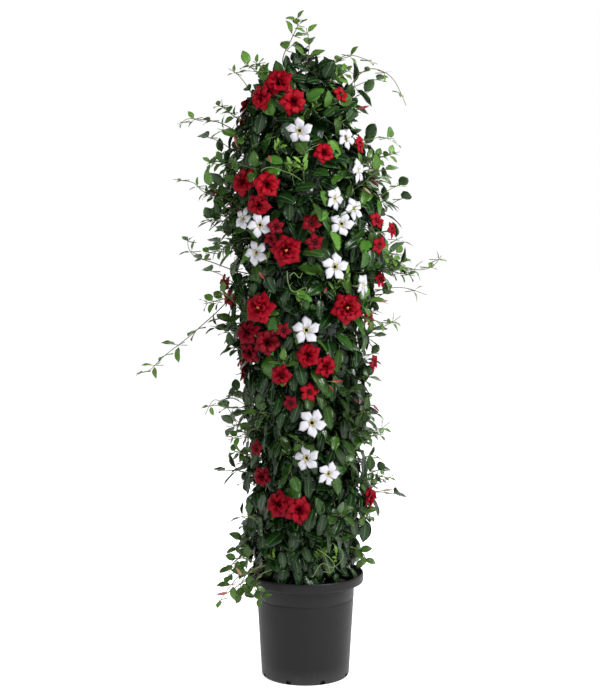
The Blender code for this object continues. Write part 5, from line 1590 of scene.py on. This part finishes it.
# Curling tips and twining shoots that cross the front: columns and rows, depth in front
tendrils = (
    (((287, 268), (288, 279), (293, 288), (301, 285), (306, 284), (304, 290), (298, 289)), 0.235),
    (((290, 272), (294, 269), (299, 274), (302, 269)), 0.240),
    (((313, 575), (322, 562), (333, 566), (343, 556), (340, 546), (333, 548)), 0.205),
    (((318, 548), (326, 553), (334, 562), (331, 571), (323, 570)), 0.205),
    (((262, 168), (270, 165), (281, 168), (292, 172), (301, 178)), 0.245),
    (((304, 152), (311, 146), (318, 143)), 0.225),
    (((338, 214), (348, 209), (357, 203), (366, 205)), 0.235),
)


# Clusters of narrow pale leaves: column, row, length of a leaf, how many
paleSprigs = (
    (272, 150, 0.036, 6), (289, 172, 0.042, 7), (303, 170, 0.038, 6), (283, 108, 0.034, 5),
    (352, 282, 0.046, 6), (338, 288, 0.040, 5), (341, 205, 0.036, 5), (262, 262, 0.034, 5),
    (325, 395, 0.034, 5), (284, 455, 0.032, 4), (322, 560, 0.034, 5), (345, 560, 0.032, 5),
    (268, 560, 0.032, 4), (316, 110, 0.036, 5), (344, 120, 0.034, 5), (300, 300, 0.034, 5),
)


def growTips(stems, leaves, flowers):
    # The curling tips, and clusters of narrow pale leaves that spread like a hand.
    rng = np.random.default_rng(foliage["seed"] + 5)
    for route, depth in tendrils:
        places = [atDepth(column, row, depth) for column, row in route]
        index = nearestVine(places[0])
        inside = places[0] + np.array([0.0, 0.05, -0.01])
        path = smoothRoute([inside, *places], 8 * len(places))
        points, quads = tubeAlong(path, np.linspace(0.0017, 0.0010, len(path)), 6)
        stems[index].add(points, quads, along=1.0, tone=1.6)
    for column, row, length, count in paleSprigs:
        place = onColumn(column, row, 0.0)
        away = unit(np.array([place[0], place[1], 0.0]))
        place = place - 0.030 * away
        heading = unit(away + np.array([0.3 * (rng.random() - 0.5), 0.0, 0.5]))
        level, upright = frameAbout(heading)
        foot = place - 0.01 * away
        index = nearestVine(foot)
        path = smoothRoute([0.75 * foot + np.array([0.0, 0.0, 0.22 * foot[2]]), foot, place], 7)
        points, quads = tubeAlong(path, 0.0014, 5)
        stems[index].add(points, quads, along=1.0, tone=1.2)
        growing = unit(0.5 * upright + (rng.random() - 0.5) * level + 0.5 * heading)
        for number in range(count):
            turn = math.pi * (number % 2) + 1.6 * (rng.random() - 0.5)
            beside = math.cos(turn) * unit(np.cross(growing, heading)) + math.sin(turn) * heading
            node = place + growing * length * 0.32 * (number // 2)
            along = unit(0.7 * beside + (0.5 + 0.5 * rng.random()) * growing)
            size = length * (0.65 + 0.5 * rng.random())
            if hidesFlower([node + 0.6 * size * along], flowers):
                continue
            up = leafFrame(away, along, 0.8 * (rng.random(3) - 0.5))
            leaves[index].add(node, along, up, size, 0.32 * size, 0.8, 0.55 + 0.4 * rng.random())


def growInnerLeaves(index, flowers, rng):
    # Leaves deep in the growth, lying any way, with few faces, kept to dark tones as painted shade.
    inner = LeafList()
    for _ in range(leaf["inner"]):
        height = 0.38 + 1.46 * rng.random()
        centre, radius, angle = strand(index, height)
        bearing = rng.random() * math.tau
        outward = np.array([math.cos(bearing), math.sin(bearing), 0.0])
        root = centre + outward * 0.50 * radius
        along = unit(outward * 0.7 + rng.normal(size=3) * 0.55 + np.array([0, 0, -0.2]))
        radial = unit(np.array([root[0], root[1], 0.0]) + 1e-6)
        up = leafFrame(radial, along, 0.5 * rng.normal(size=3))
        length = 0.062 * (0.8 + 0.4 * rng.random())
        inner.add(root, along, up, length, 0.6 * length, 0.35 * rng.random(), 0.0)
    return inner


def buildVines(materials, bunches):
    flowers = [(one[0], one[1], one[2]) for group in bunches.values() for one in group]
    trees = [cornersOf(f"vine_{index + 1}") for index in range(vine["count"])]
    stems = [Heap() for _ in range(vine["count"])]
    leaves = [LeafList() for _ in range(vine["count"])]
    growStalks(stems, bunches)
    budHeap = growBuds(stems)
    growShoots(stems, leaves, trees)
    growLeaves(trees, leaves)
    fillColumn(leaves, flowers)
    growSprays(stems, leaves, flowers)
    budSpots = [(onColumn(one[0], one[1], 0.0), np.array([0.0, -1.0, 0.0]), 0.040) for one in buds]
    budSpots += [(atDepth(*one[:3]), np.array([0.0, -1.0, 0.0]), 0.045) for one in tipBuds]
    growTwigs(stems, leaves, flowers + budSpots)
    growTips(stems, leaves, flowers)
    rng = np.random.default_rng(41)
    for index in range(vine["count"]):
        woodyStem(index, stems)
        for root, along, up, length, width, tone, age in leaves[index].rows:
            inward = np.array([-root[0], -root[1], 0.0]) / (np.hypot(root[0], root[1]) + 1e-6)
            foot = root - 0.008 * along + 0.020 * inward
            stalk = smoothRoute([foot, root, root + 0.16 * length * along + 0.006 * length * up], 4)
            points, quads = tubeAlong(stalk, [0.0012, 0.0011, 0.0010, 0.0007], 4)
            stems[index].add(points, quads, along=0.8, tone=0.9)
        heap = Heap()
        leaves[index].cloud(heap, leaf["along"], leaf["across"])
        piece = heap.build(f"vineLeaves{index + 1}", [materials["leaf"]])
        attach(piece, "root")
        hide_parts(f"vine_{index + 1}")
        inner = Heap()
        growInnerLeaves(index, flowers, rng).cloud(inner, 3, 2, 0.05)
        innerCore(index, inner)
        piece = inner.build(f"vineInner{index + 1}", [materials["leaf"]])
        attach(piece, "root")
        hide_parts(f"vine_{index + 1}")
        piece = stems[index].build(f"vineStems{index + 1}", [materials["stem"]])
        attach(piece, "root")
        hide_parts(f"vine_{index + 1}")
    piece = budHeap.build("flowerBuds", [materials["bud"]])
    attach(piece, "root")


# The studio

studio = {
    "floorGlow": 0.84, "ceiling": 0.14, "wallTop": 0.15, "wallFade": 0.42,
    "lamps": (
        ("key", (2.6, -2.6, 3.3), 1.3, 215.0),
        ("fill", (-3.4, -2.4, 2.4), 2.4, 22.0),
        ("back", (0.8, 3.2, 3.2), 2.2, 60.0),
    ),
}


def buildStudio():
    floor = bpy.data.meshes.new("floor")
    size = 30.0
    corners = [(-size, -size, 0), (size, -size, 0), (size, size, 0), (-size, size, 0)]
    floor.from_pydata(corners, [], [(0, 1, 2, 3)])
    board = Board("paleFloor", (0.9, 0.9, 0.9))
    cloud = board.noise(3.0, 2.0)
    board.feed("Base Color", board.mix(cloud, (0.90, 0.90, 0.90), (0.92, 0.92, 0.92)))
    board.feed("Roughness", 0.9)
    board.shader.inputs["Emission Color"].default_value = (1.0, 1.0, 1.0, 1.0)
    board.shader.inputs["Emission Strength"].default_value = studio["floorGlow"]
    floor.materials.append(board.material)
    ground = bpy.data.objects.new("floor", floor)
    bpy.context.scene.collection.objects.link(ground)
    world = bpy.data.worlds.new("studio")
    world.use_nodes = True
    tree = world.node_tree
    where = tree.nodes.new("ShaderNodeTexCoord")
    split = tree.nodes.new("ShaderNodeSeparateXYZ")
    fade = tree.nodes.new("ShaderNodeMapRange")  # white walls all round, dimmer overhead
    for key, value in (("From Min", studio["wallTop"]), ("From Max", studio["wallFade"]), ("To Min", 1.0),
                       ("To Max", studio["ceiling"])):
        fade.inputs[key].default_value = value
    tree.links.new(where.outputs["Generated"], split.inputs[0])
    tree.links.new(split.outputs["Z"], fade.inputs["Value"])
    tree.links.new(fade.outputs["Result"], tree.nodes["Background"].inputs["Strength"])
    tree.nodes["Background"].inputs["Color"].default_value = (1.0, 1.0, 1.0, 1.0)
    bpy.context.scene.world = world
    for name, place, width, power in studio["lamps"]:
        light = bpy.data.lights.new(name, "AREA")
        light.energy = power
        light.size = width
        lamp = bpy.data.objects.new(name, light)
        lamp.location = place
        lamp.rotation_euler = (Vector((0.0, 0.0, 1.0)) - Vector(place)).to_track_quat("-Z", "Y").to_euler()
        bpy.context.scene.collection.objects.link(lamp)


camera = {"focalPixels": 1540.0, "tiltDegrees": 5.3, "acrossPixels": 5.5, "sensor": 36.0}


def buildCamera():
    lens = bpy.data.cameras.new("camera")
    lens.sensor_fit = "VERTICAL"
    lens.sensor_height = camera["sensor"]
    lens.lens = camera["focalPixels"] / photo["height"] * camera["sensor"]
    lens.clip_end = 100.0
    eye = bpy.data.objects.new("camera", lens)
    across = -camera["acrossPixels"] * photo["metresPerPixel"]
    eye.location = (across, -photo["eyeDistance"], photo["eyeHeight"])
    eye.rotation_euler = (math.radians(90 - camera["tiltDegrees"]), 0.0, 0.0)
    bpy.context.scene.collection.objects.link(eye)
    bpy.context.scene.camera = eye
    bpy.context.scene.view_settings.view_transform = "Standard"


buildStudio()
buildCamera()
print("studio and camera ready")
materials = {
    "leaf": leafMaterial(), "stem": stemMaterial(), "redPetal": petalMaterial("red"),
    "whitePetal": petalMaterial("white"), "redTube": tubeMaterial("red"),
    "whiteTube": tubeMaterial("white"), "anther": antherMaterial(), "bud": budMaterial(),
    "pot": potMaterial(), "soil": soilMaterial(), "cane": caneMaterial(), "tie": tieMaterial(),
}
buildPot(materials)
buildSoil(materials)
buildCanes(materials)
buildTies(materials)
print("pot, soil, canes and ties made")
bunches = placedFlowers()
buildFlowers(bunches, materials)
print("flowers made:", len(bunches))
buildVines(materials, bunches)
print("vines made")
